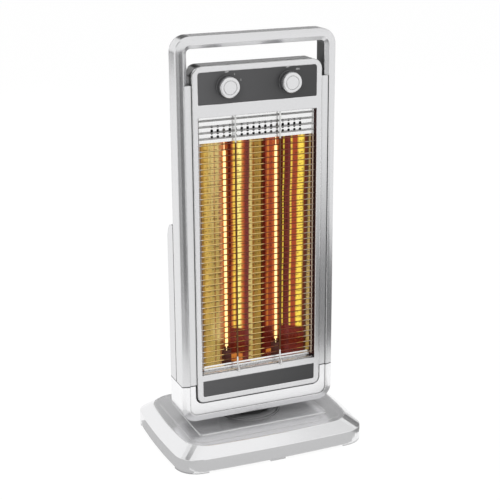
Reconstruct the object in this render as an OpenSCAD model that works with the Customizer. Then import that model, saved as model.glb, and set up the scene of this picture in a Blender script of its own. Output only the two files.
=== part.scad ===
// Carbon heater: a two-lamp column with a carry handle that swings on a weighted base.
// Millimetres. The origin is the middle of the base on the floor, +Z is up and the front faces -Y.
// Every "off" value is a distance in front of the swing axis, so a negative one lies behind it.

/* [Column] */
// Height from the floor to the top of the handle
overall_h = 650; // [630:1:680]
// Width of the column
column_w = 255; // [250:1:262]
// Radius of the column's outer corners, seen from the front
corner_r = 24; // [20:1:28]
// How far the side strips' face lies in front of the swing axis
face_off = 44.6; // [44:0.2:46]
// Depth of the outer frame behind the side strips' face
frame_d = 29; // [27:0.5:31]
// Width of the sloped front band
band_w = 11.8; // [10:0.2:13]
// How far the band's inner crest stands in front of the strips
crest_h = 1.6; // [0.5:0.1:2.5]
// How far the band's outer edge lies behind the strips
edge_drop = 1.2; // [0.5:0.1:2.5]
// Width of the bevel inside the handle loop
bevel_w = 6; // [4:0.5:8]
// Depth of the bevel inside the handle loop
bevel_d = 4; // [2:0.5:6]
// How far the floor of the gaps beside the control module lies below the top
loop_floor_drop = 70.5; // [66:0.5:76]
// Thickness of the dark lining inside the handle loop
liner_t = 1.2; // [1:0.1:1.6]
// Height of the seam above the bottom cover
seam_z = 113.5; // [111:0.5:120]
// Height of the column's underside
cover_z = 52; // [51:0.5:56]
// Height of the top of the deep rear cover
hump_z = 365; // [340:1:400]
// How far the deep rear cover reaches behind the swing axis at its sides
hump_side = 12; // [9:0.5:14]
// Extra depth of the rear cover at its middle
hump_crown = 18; // [16:0.5:24]
// Radius of the rear cover's upright edges
hump_edge_r = 5; // [3:0.5:7]
// Wall of the moulded shells
wall = 2.4; // [2:0.1:2.8]

/* [Front module] */
// Width of the column's face on each side of the bezel
side_w = 24; // [23:0.5:26]
// How far the bezel's top edge lies below the top of the handle
bezel_drop = 43.4; // [40:0.2:48]
// Height of the bezel's bottom edge
bezel_bottom = 83.8; // [82:0.2:87]
// Thickness of the bezel
bezel_t = 3; // [2.6:0.1:3.4]
// How far the bezel stands in front of the strips
bezel_proud = 2.7; // [2:0.1:4]
// Radius of the bezel's top corners
bezel_r = 16; // [12:1:20]
// Radius of the bezel's bottom corners
bezel_low_r = 10; // [8:0.5:12]
// Width of the bezel's side rails beside the lamp window
rail_w = 8; // [7.5:0.1:9]
// Height of the crossbar between the window and the control plate
crossbar_h = 18.7; // [17:0.1:21]
// Height of the window's bottom edge
window_bottom = 128.5; // [126:0.5:130]
// Depth of the sill's slope behind the bezel's face
sill_d = 11; // [8:0.5:13]
// Rise of the sill's slope
sill_rise = 3; // [2:0.5:4]
// Width of the bezel's frame beside and above the control plate
control_rim = 8.7; // [8.2:0.1:10]
// Height of the control plate
control_h = 47.5; // [45:0.5:49]
// Width of the bezel's frame beside and below the lower plate
badge_rim = 9.2; // [8.6:0.1:11]
// Height of the lower plate
badge_h = 25.7; // [22:0.1:27]
// Thickness of the control plate and the lower plate
plate_t = 1.5; // [1.2:0.1:1.7]

/* [Knobs] */
// Diameter of a knob's face
knob_d = 30.6; // [28:0.2:34]
// How much wider a knob's foot is than its face
knob_flare = 3; // [1:0.2:5]
// Height of a knob in front of its plate
knob_h = 13.4; // [11:0.2:16]
// Distance of each knob from its end of the control plate
knob_inset = 45.4; // [40:0.2:50]
// How far the knobs' axes lie above the middle of the control plate
knob_rise = 1.2; // [0:0.2:2]
// Flutes round a knob
flute_count = 30; // [18:1:40]
// Diameter of a knob's shaft
knob_shaft_d = 6; // [5:0.5:6.5]

/* [Grille] */
// Distance between level wires
wire_pitch = 9; // [8:0.5:12]
// Diameter of a level wire
wire_d = 1.6; // [1.4:0.1:2]
// How far the top wire lies below the window's top edge
wire_drop = 6.1; // [5:0.1:9]
// How far the bottom wire lies above the window's bottom edge
wire_rise = 10.1; // [9:0.1:14]
// Diameter of a hooked stay
stay_d = 2.8; // [2:0.1:3]
// Distance of each stay from the middle
stay_x = 36; // [30:0.5:42]
// How far a stay's hook reaches forwards
hook_reach = 6; // [4:0.5:8]
// Length of a hook's straight end
hook_end = 4; // [2:0.5:6]
// Diameter of a side rod
rod_d = 2.2; // [1.8:0.1:2.6]

/* [Lamps] */
// Place of each lamp between the middle and its reflector's outer edge
lamp_share = 0.447; // [0.43:0.001:0.46]
// How far the lamps lie in front of the swing axis
lamp_off = 14.5; // [13:0.5:16]
// Outer diameter of a quartz tube
tube_d = 12; // [10:0.5:13]
// Wall of a quartz tube
tube_wall = 1.2; // [1:0.1:1.4]
// Width of the carbon filament
filament_w = 5; // [4:0.2:6]
// Gap between the lower cap and the filament
filament_gap = 5; // [3:0.5:10]
// Distance from the filament's upper end to the vent plate
filament_drop = 18; // [14:0.5:25]
// Diameter of a ceramic end cap
cap_d = 15; // [14.4:0.2:15.6]
// Distance from a lamp to the bottom of its reflector
reflector_gap = 18; // [17:0.2:19]
// Depth of a reflector at its outer edge
reflector_rise = 36.2; // [34:0.2:38]
// Thickness of the sheet metal
sheet = 0.8; // [0.6:0.1:1]
// How far the vent plate reaches below the window's top edge
vent_h = 39.7; // [37:0.1:42]
// Columns of holes in the vent plate
vent_columns = 16; // [10:1:17]
// Distance between the vent plate's columns
vent_pitch = 9.5; // [8:0.1:10]

/* [Base] */
// Width of the base
base_w = 319; // [310:1:330]
// Depth of the base
base_d = 240; // [230:1:250]
// Height of the base
base_h = 38; // [37:0.5:40]
// Height of the crease between skirt and bevel
crease_z = 23.5; // [22:0.5:26]
// Gap under the skirt between its lugs
skirt_gap = 3.2; // [2:0.1:4]
// Radius of the base's corners
base_r = 36; // [32:1:40]
// Width of the bevel at the sides
bevel_side = 18.3; // [16:0.5:21]
// Width of the bevel at the front and back
bevel_front = 14.5; // [12:0.5:17]
// Bow of the front and back edges
bow_front = 2.8; // [1:0.2:4]
// Bow of the side edges
bow_side = 3.1; // [1:0.2:4]
// Wall of the base shell
base_wall = 2.6; // [2.2:0.1:3]
// Distance from the base's side to the raised panel on its top
panel_side = 51.5; // [46:0.5:58]
// Distance from the base's front to the raised panel on its top
panel_front = 52.4; // [48:0.2:56]
// Height of the raised panel
panel_h = 1.5; // [1:0.1:2]

/* [Swing drive] */
// Outer diameter of the pivot tube
pivot_d = 46; // [45:0.5:48]
// Distance from the swing axis to the motor shaft
motor_off = 13; // [12.5:0.1:13.4]
// Crank length, which gives a swing of about 35 degrees each way
crank_r = 7.45; // [7.2:0.05:7.7]
// Diameter of the crank pin
crank_pin_d = 4; // [3.4:0.1:4.2]
// Side clearance of the crank pin in its guide
guide_gap = 0.9; // [0.8:0.05:1.1]
// Outer radius of the turntable's visible ring
ring_r = 50; // [48:0.5:54]
// Outer radius of the turntable's raised step
step_r = 46.6; // [44:0.2:47.4]

/* [Fits] */
// Gap between shells that meet
seam = 0.3; // [0.2:0.05:0.4]
// Reveal between the bezel and the bottom cover
reveal = 2.2; // [1.6:0.1:2.6]
// Radial clearance of a turning fit
running = 0.06; // [0.03:0.01:0.1]

/* [Hidden] */

$fn = 48;
eps = 0.01;

// Places along the depth
rear_off = face_off - frame_d;
edge_off = face_off - edge_drop;
crest_off = face_off + crest_h;
bezel_off = face_off + bezel_proud;
bezel_back = bezel_off - bezel_t;
housing_t = 3;
frame_back = rear_off + housing_t;

// Places along the width
half_w = column_w / 2;
bezel_w = column_w - 2 * side_w;
window_w = bezel_w - 2 * rail_w;
control_w = bezel_w - 2 * control_rim;
badge_w = bezel_w - 2 * badge_rim;
knob_x = control_w / 2 - knob_inset;
loop_u = band_w + bevel_w;
strip_out = half_w - band_w - seam;
strip_in = bezel_w / 2 + seam;
strip_t = 2;
module_x = bezel_w / 2 - 0.5;
baffle_x = window_w / 2 + seam;
baffle_t = 1.2;
flange_w = 6.2;

// Places along the height, tied to the top of the handle
loop_floor_z = overall_h - loop_floor_drop;
bezel_top = overall_h - bezel_drop;
module_top = bezel_top - 0.2;
control_top = bezel_top - control_rim;
control_bottom = control_top - control_h;
window_top = control_bottom - crossbar_h;
badge_bottom = bezel_bottom + badge_rim;
badge_top = badge_bottom + badge_h;
knob_z = (control_bottom + control_top) / 2 + knob_rise;
wire_top_z = window_top - wire_drop;
wire_low_z = window_bottom + wire_rise;
wire_count = floor((wire_top_z - wire_low_z) / wire_pitch + 0.01) + 1;
vent_z = window_top - vent_h;
control_floor_z = window_top + 4.3;

// Places of the plates in the bezel
pocket_d = plate_t + 0.3;
ledge = 3;

// Grille
wire_off = bezel_back - 1.4;
stay_off = wire_off + wire_d / 2 + stay_d / 2;
wire_bend = wire_d / 2 + rod_d / 2 + 0.05;
rod_off = wire_off - wire_bend;
wire_half = window_w / 2 - 1.2;
hook_r = 4;
hook_turn = 50;
rod_x = wire_half - wire_bend;

// Lamps and sheet metal
vent_off = rod_off - rod_d / 2 - seam - sheet;
reflector_edge = baffle_x - 1.2;
lamp_x = reflector_edge * lamp_share;
vertex_off = lamp_off - reflector_gap;
shelf_z = window_bottom + sill_rise - 1;
lip_top_z = shelf_z + 8.4;
cap_top_z = shelf_z + 22.5;
cap_h = 22;
socket_d = 8;
filament_low_z = cap_top_z + filament_gap;
filament_top_z = vent_z - filament_drop;
chamber_x = baffle_x + baffle_t + 0.7;
chamber_wall = 2.2;
box_x = chamber_x + chamber_wall + 0.4;
chamber_back = vertex_off - 4;
chamber_low = seam_z + 6;
chamber_top = control_floor_z - seam;
screw_x = (chamber_x + chamber_wall + half_w) / 2;

// Base
deck_z = base_h - 2;
deck_t = 2.6;
foot_h = 3;
plate_z = foot_h;
floor_t = 2;
floor_top = plate_z + floor_t;
pivot_r = pivot_d / 2;
pivot_wall = 3.5;
boss_low_z = 30;
boss_top_z = base_h + panel_h + 1.7;
collar_r = pivot_r + 9;
washer_t = 1.2;
collar_z = boss_top_z + washer_t + 0.1;
panel_x = base_w / 2 - panel_side;
panel_y = base_d / 2 - panel_front;
post_x = base_w / 2 - 49.5;
post_y = base_d / 2 - 34;
foot_x = base_w / 2 - 31.5;
foot_y = base_d / 2 - 30;
tip_x = base_w / 2 - 97.5;
tip_y = base_d / 2 - 76;
inlet_x = 60;
silver = [0.78, 0.79, 0.8];
white = [0.93, 0.93, 0.94];
dark = [0.2, 0.2, 0.21];
steel = [0.62, 0.63, 0.65];
gold = [0.85, 0.65, 0.25];
ceramic = [0.9, 0.88, 0.82];
black = [0.1, 0.1, 0.1];

// Shared shapes

// Lays a front-view outline between two distances in front of the swing axis.
module facing(off_low, off_high) {
    rotate([90, 0, 0])
        translate([0, 0, off_low])
            linear_extrude(off_high - off_low)
                children();
}

// Places children made in the front view, with their depth axis towards the viewer.
module upright() {
    rotate([90, 0, 0]) children();
}

module both_sides() {
    children();
    mirror([1, 0, 0]) children();
}

// Rectangle between two corners with rounded corners, made of true arcs.
module round_box(x0, y0, x1, y1, r_low, r_top) {
    translate([x0, y0 + r_low]) square([x1 - x0, y1 - y0 - r_low - r_top]);
    if (r_low > 0) {
        translate([x0 + r_low, y0]) square([x1 - x0 - 2 * r_low, r_low + eps]);
        for (x = [x0 + r_low, x1 - r_low]) translate([x, y0 + r_low]) circle(r = r_low);
    }
    if (r_top > 0) {
        translate([x0 + r_top, y1 - r_top - eps]) square([x1 - x0 - 2 * r_top, r_top + eps]);
        for (x = [x0 + r_top, x1 - r_top]) translate([x, y1 - r_top]) circle(r = r_top);
    }
}

// Sweeps a profile along one side and round the corner above it. The profile's x is the
// distance inwards from the outer edge, and its y is the distance in front of the swing axis.
module swept_leg(x_half, z_low, z_top, r) {
    upright() translate([-x_half, z_top - r, 0])
        rotate([90, 0, 0]) linear_extrude(z_top - r - z_low) children();
    swept_corner(x_half, z_top, r) children();
}

module swept_corner(x_half, z_top, r) {
    upright() translate([-x_half + r, z_top - r, 0])
        rotate([0, 0, 90]) rotate_extrude(angle = 90) translate([r, 0]) mirror([1, 0]) children();
}

module swept_bar(x_half, z_top, r) {
    upright() translate([x_half - r, z_top, 0])
        rotate([0, 0, -90]) rotate([90, 0, 0]) linear_extrude(2 * (x_half - r)) children();
}

// A profile swept up one side, over the top and down the other side.
module swept_arch(x_half, z_low, z_top, r) {
    both_sides() swept_leg(x_half, z_low, z_top, r) children();
    swept_bar(x_half, z_top, r) children();
}

// The same arch upside down, standing below z_high.
module swept_cradle(x_half, z_low, z_high, r) {
    translate([0, 0, z_low + z_high]) mirror([0, 0, 1])
        swept_arch(x_half, z_low, z_high, r) children();
}

// Outline of the base: edges that bow out a little, joined by round corners. The corner
// arcs' centres lie in by bow_side and bow_front from the middles of the inner edges.
function bowed(a, b, r, steps = 5, arc = 7) =
    let (
        xc = a - r - bow_side,
        yc = b - r - bow_front,
        kx = bow_front / (xc * xc),
        ky = bow_side / (yc * yc),
        side = [for (i = [0:steps - 1]) let (y = yc * i / steps, n = [1, 2 * ky * y])
            [a - r - ky * y * y, y] + r * n / norm(n)],
        turn_low = atan(2 * ky * yc),
        turn_high = 90 - atan(2 * kx * xc),
        bend = [for (i = [0:arc]) let (t = turn_low + (turn_high - turn_low) * i / arc)
            [xc + r * cos(t), yc + r * sin(t)]],
        front = [for (i = [steps - 1:-1:0]) let (x = xc * i / steps, n = [2 * kx * x, 1])
            [x, b - r - kx * x * x] + r * n / norm(n)],
        quarter = concat(side, bend, front),
        last = len(quarter) - 1
    )
    concat(
        quarter,
        [for (i = [last - 1:-1:0]) [-quarter[i][0], quarter[i][1]]],
        [for (i = [1:last]) [-quarter[i][0], -quarter[i][1]]],
        [for (i = [last - 1:-1:1]) [quarter[i][0], -quarter[i][1]]]
    );

// Outline of the base at the skirt, drawn in by an inset
module skirt_outline(inset = 0) {
    polygon(bowed(base_w / 2 - inset, base_d / 2 - inset, base_r - inset));
}

// Outline of the base's flat top, drawn in by an inset
module top_outline(inset = 0) {
    polygon(bowed(base_w / 2 - bevel_side - inset, base_d / 2 - bevel_front - inset, base_r + 4 - inset));
}

// Plan of the deep lower column: a flat front, flush sides and a crowned back with round
// edges. The inset draws it in all round, and forward brings its back towards the front.
crown_r = (half_w * half_w + hump_crown * hump_crown) / (2 * hump_crown);
crown_y = hump_side + hump_crown - crown_r;

function deep_points(front_y, inset, forward = 0, steps = 18) =
    let (
        x = half_w - inset,
        r = hump_edge_r - inset / 2,
        big = crown_r - inset,
        ex = x - r,
        cy = crown_y - forward,
        rise = sqrt(pow(big - r, 2) - ex * ex),
        tilt = atan2(rise, ex),
        edge = [for (i = [0:4]) [ex + r * cos(tilt * i / 5), cy + rise + r * sin(tilt * i / 5)]],
        crown = [for (i = [0:steps]) let (t = tilt + (180 - 2 * tilt) * i / steps)
            [big * cos(t), cy + big * sin(t)]]
    )
    concat([[-x, front_y], [x, front_y]], edge, crown,
        [for (i = [4:-1:0]) [-edge[i][0], edge[i][1]]]);

// Cuts that round the two lower corners of the deep column
module corner_cut(inset) {
    x = half_w - inset;
    z = cover_z + inset;
    r = corner_r - inset;
    bend = [for (i = [0:12]) [x - r + r * sin(7.5 * i), z + r - r * cos(7.5 * i)]];
    both_sides() facing(-80, 80) polygon(concat(bend, [[x + 2, z + r], [x + 2, z - 2], [x - r, z - 2]]));
}

// Base

module base_shell() {
    color(white)
    difference() {
        union() {
            translate([0, 0, skirt_gap]) linear_extrude(crease_z - skirt_gap) skirt_outline();
            hull() {
                translate([0, 0, crease_z - eps]) linear_extrude(eps) skirt_outline();
                translate([0, 0, base_h - eps]) linear_extrude(eps) top_outline();
            }
            base_lugs();
        }
        base_cavity();
        translate([0, 0, deck_z]) linear_extrude(3) top_outline(1);
        cylinder(r = ring_r - 6, h = 60);
        inlet_hole();
    }
    color(white) base_ribs();
}

// Lugs of the skirt at the corners and in the middle of the front and back
module base_lugs() {
    translate([0, 0, 0.6]) linear_extrude(skirt_gap - 0.6 + eps) intersection() {
        skirt_outline();
        union() {
            for (x = [-1, 1], y = [-1, 1])
                translate([x * base_w / 2, y * base_d / 2]) square([92, 76], center = true);
            square([25, base_d + 10], center = true);
        }
    }
}

module base_cavity() {
    translate([0, 0, -eps]) linear_extrude(crease_z - 1) skirt_outline(base_wall);
    hull() {
        translate([0, 0, crease_z - 1.1]) linear_extrude(eps) skirt_outline(base_wall);
        translate([0, 0, deck_z - deck_t]) linear_extrude(eps) top_outline(base_wall);
    }
}

// Screw posts and stiffening ribs under the deck
module base_ribs() {
    difference() {
        union() {
            for (p = post_places()) translate([p[0], p[1], floor_top + seam])
                cylinder(r = 4, h = deck_z - deck_t - floor_top - seam + eps);
            for (x = [-78, 78]) translate([x - 1, -post_y - 2, deck_z - deck_t - 8])
                cube([2, 2 * post_y + 4, 8 + eps]);
            for (y = [-58, 58]) translate([-post_x - 2, y - 1, deck_z - deck_t - 8])
                cube([2 * post_x + 4, 2, 8 + eps]);
            translate([0, 0, deck_z - deck_t - 5]) difference() {
                cylinder(r = ring_r - 1.6, h = 5 + eps);
                translate([0, 0, -1]) cylinder(r = ring_r - 4, h = 8);
            }
        }
        for (p = post_places()) translate([p[0], p[1], 0]) cylinder(r = 1.3, h = floor_top + 12);
    }
}

function post_places() = [[-post_x, -post_y], [post_x, -post_y], [-post_x, post_y], [post_x, post_y],
    [0, -post_y - 14], [0, post_y + 14]];

module base_top_plate() {
    color([0.55, 0.56, 0.57])
    difference() {
        union() {
            translate([0, 0, deck_z]) linear_extrude(base_h - deck_z) top_outline(1 + seam);
            translate([0, 0, base_h - eps]) linear_extrude(panel_h + eps)
                round_box(-panel_x, -panel_y, panel_x, panel_y, 4, 4);
        }
        translate([0, 0, deck_z - 1]) cylinder(r = ring_r + seam, h = 8);
        translate([0, 0, base_h - 0.5]) linear_extrude(2) difference() {
            round_box(-panel_x - 19, -panel_y - 23, panel_x + 19, panel_y + 23, 22, 22);
            round_box(-panel_x - 18.3, -panel_y - 22.3, panel_x + 18.3, panel_y + 22.3, 21.3, 21.3);
        }
    }
}

module base_bottom_plate() {
    color(dark)
    difference() {
        translate([0, 0, plate_z]) linear_extrude(floor_t) skirt_outline(base_wall + seam);
        for (p = post_places()) translate([p[0], p[1], 0]) cylinder(r = 1.8, h = 10);
        translate([tip_x, tip_y, 0]) cylinder(r = 4 + seam, h = 10);
    }
}

module ballast_plate() {
    color(steel)
    difference() {
        translate([0, 0, floor_top]) linear_extrude(4)
            round_box(-post_x - 2, -post_y + 14, post_x + 2, post_y - 14, 8, 8);
        translate([0, 0, 1]) cylinder(r = ring_r - 8, h = 20);
        translate([tip_x, tip_y, 1]) linear_extrude(20) square([34, 24], center = true);
    }
}

module rubber_feet() {
    color(black)
    for (x = [-foot_x, foot_x], y = [-foot_y, foot_y]) translate([x, y, 0]) {
        difference() {
            cylinder(r = 9, h = foot_h);
            translate([0, 0, -1]) cylinder(r = 3, h = 2.4);
        }
    }
}

module turntable_boss() {
    color([0.5, 0.51, 0.52])
    rotate_extrude($fn = 96) difference() {
        union() {
            translate([0, boss_low_z]) square([pivot_r + 4, boss_top_z - boss_low_z]);
            translate([0, deck_z - deck_t - 1]) square([ring_r - 6 - seam, deck_t + 2]);
            translate([0, deck_z]) square([ring_r, base_h + panel_h + 0.9 - deck_z]);
            translate([0, deck_z]) square([step_r, boss_top_z - deck_z]);
        }
        translate([step_r, base_h + panel_h]) square([1.4, 5]);
        translate([0, boss_low_z - 1]) square([pivot_r + running, 30]);
    }
}

module swing_washer() {
    color([0.85, 0.84, 0.8])
    translate([0, 0, boss_top_z]) difference() {
        cylinder(r = collar_r - 1, h = washer_t, $fn = 96);
        translate([0, 0, -1]) cylinder(r = pivot_r + 0.4, h = 4, $fn = 96);
    }
}

// Radial guide that the crank pin works in: a foot and two rails
module swing_guide() {
    rail_x = crank_pin_d / 2 + guide_gap;
    rail_y0 = -(motor_off + crank_r + crank_pin_d / 2 + 2.2);
    rail_y1 = -(motor_off - crank_r - crank_pin_d / 2 - 1.2);
    color(steel) {
        translate([-16, rail_y0 - 3, floor_top]) cube([32, rail_y1 - rail_y0 + 6, 3]);
        both_sides() translate([rail_x, rail_y0, floor_top + 3 - eps])
            cube([3, rail_y1 - rail_y0, 10]);
    }
}

// Hole for the cord at the back of the skirt
module inlet_hole() {
    translate([inlet_x, base_d / 2 - 12, 14]) rotate([-90, 0, 0]) cylinder(r = 5, h = 20);
    translate([inlet_x, inlet_y() - 1.2, 14]) rotate([-90, 0, 0]) cylinder(r = 8 + seam, h = 20);
}

function inlet_y() = base_d / 2 - bow_front * pow(inlet_x / (base_w / 2 - base_r - bow_side), 2) - 0.3;

module cord_inlet() {
    color(black)
    translate([inlet_x, inlet_y() - 1.2, 14]) rotate([-90, 0, 0]) difference() {
        union() {
            cylinder(r = 8, h = 1.2);
            translate([0, 0, -6]) cylinder(r = 4.8, h = 6 + eps);
        }
        translate([0, 0, -8]) cylinder(r = 3.2, h = 12);
    }
}

module tip_switch() {
    color(dark)
    translate([tip_x, tip_y, floor_top]) difference() {
        translate([-15, -10, 0]) cube([30, 20, 16]);
        translate([0, 0, -1]) cylinder(r = 3 + running, h = 12);
        translate([0, 0, -1]) cylinder(r = 4.6, h = 6);
    }
}

module tip_plunger() {
    color("tomato")
    translate([tip_x, tip_y, 0]) {
        cylinder(r = 3, h = floor_top + 6);
        translate([0, 0, 0]) cylinder(r = 3.9, h = 2.5);
    }
}

module base_screws() {
    color(steel)
    for (p = post_places()) translate([p[0], p[1], 0]) {
        translate([0, 0, plate_z - 1.6]) cylinder(r = 3.2, h = 1.6);
        translate([0, 0, plate_z - eps]) cylinder(r = 1.28, h = 12);
    }
}

// Column: pivot and bottom

module pivot_tube() {
    color(dark)
    rotate_extrude($fn = 96) difference() {
        union() {
            translate([0, boss_low_z - 5]) square([pivot_r, cover_z + wall + 3 - boss_low_z + 5]);
            translate([0, collar_z]) square([collar_r, 3]);
            translate([0, cover_z + wall]) square([pivot_r + 3, 3]);
        }
        translate([-1, 0]) square([pivot_r - pivot_wall + 1, 100]);
        translate([pivot_r - 1.5, boss_low_z - 3.3]) square([3, 3]);
    }
}

module pivot_retainer() {
    color(steel)
    difference() {
        translate([0, 0, boss_low_z - 3.2]) cylinder(r = pivot_r + 5, h = 2.8, $fn = 96);
        translate([0, 0, 0]) cylinder(r = pivot_r - 1.4, h = 60, $fn = 96);
        translate([-1, 0, 0]) cube([2, 60, 60]);
    }
}

// Profile of the sloped band: a round outer edge, a crowned slope and a crest
function band_points(low) = concat(
    [[0, low], [0, edge_off - 2]],
    [for (t = [15:15:75]) [2 - 2 * cos(t), edge_off - 2 + 2 * sin(t)]],
    [for (i = [1:5]) let (t = i / 5)
        [2 + (band_w - 2) * t, edge_off + (crest_off - edge_off) * t + 0.45 * sin(180 * t)]]
);

module band_profile(low) {
    polygon(concat(band_points(low), [[band_w, low]]));
}

module deep_body(front_y, top_z, inset) {
    difference() {
        translate([0, 0, cover_z + inset]) linear_extrude(top_z - cover_z - inset)
            polygon(deep_points(front_y, inset));
        corner_cut(inset);
    }
}

module bottom_cover() {
    notch_x = bezel_w / 2 + reveal;
    notch_z = bezel_bottom - reveal;
    band_low = edge_off - 4;
    color([0.96, 0.96, 0.96])
    difference() {
        union() {
            deep_body(-band_low - 1, seam_z, 0.12);
            intersection() {
                swept_cradle(half_w, cover_z, seam_z + 40, corner_r) band_profile(band_low);
                facing(0, 60) square_between(-half_w - 1, cover_z - 1, half_w + 1, seam_z);
            }
            facing(band_low, face_off) round_box(-half_w + band_w - eps, cover_z + band_w - eps,
                half_w - band_w + eps, seam_z, corner_r - band_w, 0);
        }
        deep_body(-face_off + wall, seam_z + 1, wall);
        facing(face_off - wall - 4, 60)
            round_box(-notch_x, notch_z, notch_x, seam_z + 40, bezel_low_r + reveal, 0);
        cylinder(r = pivot_r + seam, h = 100);
    }
}

module square_between(x0, y0, x1, y1) {
    translate([x0, y0]) square([x1 - x0, y1 - y0]);
}

// Outer frame with the handle loop: a channel open at the back, bent into an arch

module channel_profile() {
    lip = crest_off - bevel_d;
    inner = loop_u - liner_t - 0.1;
    polygon(concat(
        band_points(frame_back),
        [[loop_u, lip], [loop_u, lip - 1.2], [inner, lip - 1.2], [inner, frame_back],
            [inner - wall, frame_back], [inner - wall, lip - wall - 0.4],
            [band_w, crest_off - wall - 1.4], [wall + 0.6, edge_off - wall - 1],
            [wall, edge_off - wall - 2], [wall, frame_back]]
    ));
}

module front_frame() {
    color(silver)
    difference() {
        swept_arch(half_w, seam_z + seam, overall_h, corner_r) channel_profile();
        both_sides() strip_seat();
    }
}

// Dark lining of the handle loop, behind the frame's bevel
module loop_liner() {
    color(dark) swept_arch(half_w, loop_floor_z - 1.8, overall_h, corner_r) polygon([
        [loop_u - liner_t, rear_off], [loop_u, rear_off],
        [loop_u, crest_off - bevel_d - 1.3], [loop_u - liner_t, crest_off - bevel_d - 1.3]]);
}

module strip_seat() {
    facing(face_off - strip_t, 60)
        square_between(strip_in - 1, seam_z - 1, half_w - band_w, loop_floor_z + seam);
}

// Side strip: a flat face with a return on top that floors the gap beside the module
module side_strip() {
    color(silver) {
        facing(face_off - strip_t, face_off)
            square_between(strip_in, seam_z + seam, strip_out, loop_floor_z);
        facing(frame_back, face_off - strip_t + eps)
            square_between(module_x + seam, loop_floor_z - 2, half_w - loop_u - seam, loop_floor_z);
    }
}

module left_strip() {
    mirror([1, 0, 0]) side_strip();
}

module right_strip() {
    side_strip();
}

// Front module

module bezel_outline(inset = 0) {
    x = bezel_w / 2 - inset;
    round_box(-x, bezel_bottom + inset, x, bezel_top - inset, bezel_low_r - inset, bezel_r - inset);
}

module control_outline(inset = 0) {
    x = control_w / 2 - inset;
    round_box(-x, control_bottom + inset, x, control_top - inset, 2, 4);
}

module badge_outline(inset = 0) {
    x = badge_w / 2 - inset;
    round_box(-x, badge_bottom + inset, x, badge_top - inset, 3, 1);
}

module front_bezel() {
    skirt_off = bezel_back - 4;
    color(silver)
    difference() {
        union() {
            facing(bezel_back, bezel_off - 0.8) bezel_outline();
            facing(bezel_off - 0.8 - eps, bezel_off) bezel_outline(0.8);
            facing(skirt_off, bezel_back + eps) difference() {
                bezel_outline(0.6);
                bezel_outline(2.4);
            }
            sill_slope();
        }
        facing(bezel_back - 1, 60)
            square_between(-window_w / 2, window_bottom, window_w / 2, window_top);
        facing(bezel_off - pocket_d, 60) control_outline();
        facing(bezel_off - pocket_d, 60) badge_outline();
        facing(0, 60) control_outline(ledge);
        facing(0, 60) badge_outline(ledge);
    }
    color(silver) switch_bridge();
}

// Slope that leads from the bezel's face back to the lip plate
module sill_slope() {
    z0 = window_bottom;
    translate([window_w / 2, 0, 0]) rotate([0, -90, 0]) linear_extrude(window_w)
        polygon([[z0 - 2, -bezel_back - eps], [z0, -bezel_off + 0.8], [z0 + eps, -bezel_off + 0.8],
            [z0 + sill_rise, -bezel_off + sill_d], [z0 + sill_rise - 2, -bezel_off + sill_d]]);
}

// Bridge behind the control plate that the switches are screwed to
module switch_bridge() {
    z_mid = (control_bottom + control_top) / 2;
    difference() {
        facing(bezel_back, bezel_off - pocket_d)
            square_between(-control_w / 2 + ledge - eps, z_mid - 15, control_w / 2 - ledge + eps, z_mid + 15);
        for (s = [-1, 1]) translate([s * knob_x, 0, knob_z]) rotate([90, 0, 0]) cylinder(r = 4.4, h = 90);
    }
}

module control_plate() {
    color(dark)
    difference() {
        facing(bezel_off - pocket_d, bezel_off - 0.3) control_outline(seam);
        for (s = [-1, 1]) translate([s * knob_x, 0, knob_z]) rotate([90, 0, 0]) cylinder(r = 4.4, h = 90);
    }
}

module badge_plate() {
    color(dark) facing(bezel_off - pocket_d, bezel_off - 0.3) badge_outline(seam);
}

// Box behind the control plate
module module_shell() {
    low = frame_back + seam;
    high = bezel_back - 4 - seam;
    color([0.6, 0.61, 0.62])
    facing(low, high) difference() {
        round_box(-module_x, control_floor_z, module_x, module_top, 2, bezel_r - 0.4);
        round_box(-module_x + 2, control_floor_z + 2, module_x - 2, module_top - 2, 1, bezel_r - 2.4);
    }
}

// Back of the column: the handle's back, the back panel and the lamp chamber's box
module rear_housing() {
    back = chamber_back;
    arch_in = loop_u - liner_t - 0.1;
    color(silver)
    difference() {
        union() {
            swept_arch(half_w, seam_z + seam, overall_h, corner_r) polygon([
                [0, frame_back - seam / 3], [0, rear_off + 2], [0.6, rear_off + 0.6], [2, rear_off],
                [arch_in, rear_off], [arch_in, frame_back - seam / 3]]);
            facing(rear_off, frame_back - seam / 3) square_between(-half_w + arch_in - eps,
                seam_z + seam, half_w - arch_in + eps, loop_floor_z - 2);
            facing(rear_off, frame_back - seam / 3)
                round_box(-module_x, loop_floor_z - 20, module_x, module_top, 1, bezel_r - 0.4);
            facing(back, frame_back) chamber_outline(6);
            facing(frame_back - eps, bezel_back - 4 - seam) chamber_outline(2);
        }
        facing(back + chamber_wall, 80) round_box(-chamber_x, chamber_low, chamber_x,
            chamber_top - chamber_wall, 4, 4);
        rear_vents(back);
    }
}

// Outline of the lamp chamber's box
module chamber_outline(r) {
    x = chamber_x + chamber_wall;
    round_box(-x, chamber_low - 2, x, chamber_top, r, r);
}

module rear_vents(back) {
    rows = floor((vent_z - 24 - hump_z - 35) / 14);
    for (x = [-0.6, -0.2, 0.2, 0.6], i = [0:rows])
        translate([x * chamber_x - 14, -back - 4, hump_z + 35 + 14 * i]) cube([28, 8, 4]);
}

// Deep cover over the lower back
module rear_cover() {
    low = seam_z + seam;
    front = -rear_off + seam;
    color(silver)
    difference() {
        hump(front, low, 0);
        hump(front - 1, low - 1, wall);
        facing(chamber_back - seam, rear_off + 5)
            square_between(-box_x, low - 1, box_x, hump_z + 9);
        for (x = [-75, -25, 25, 75], i = [0:5])
            translate([x - 16, 0, seam_z + 56 + 22 * i]) cube([32, 60, 5]);
    }
}

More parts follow.
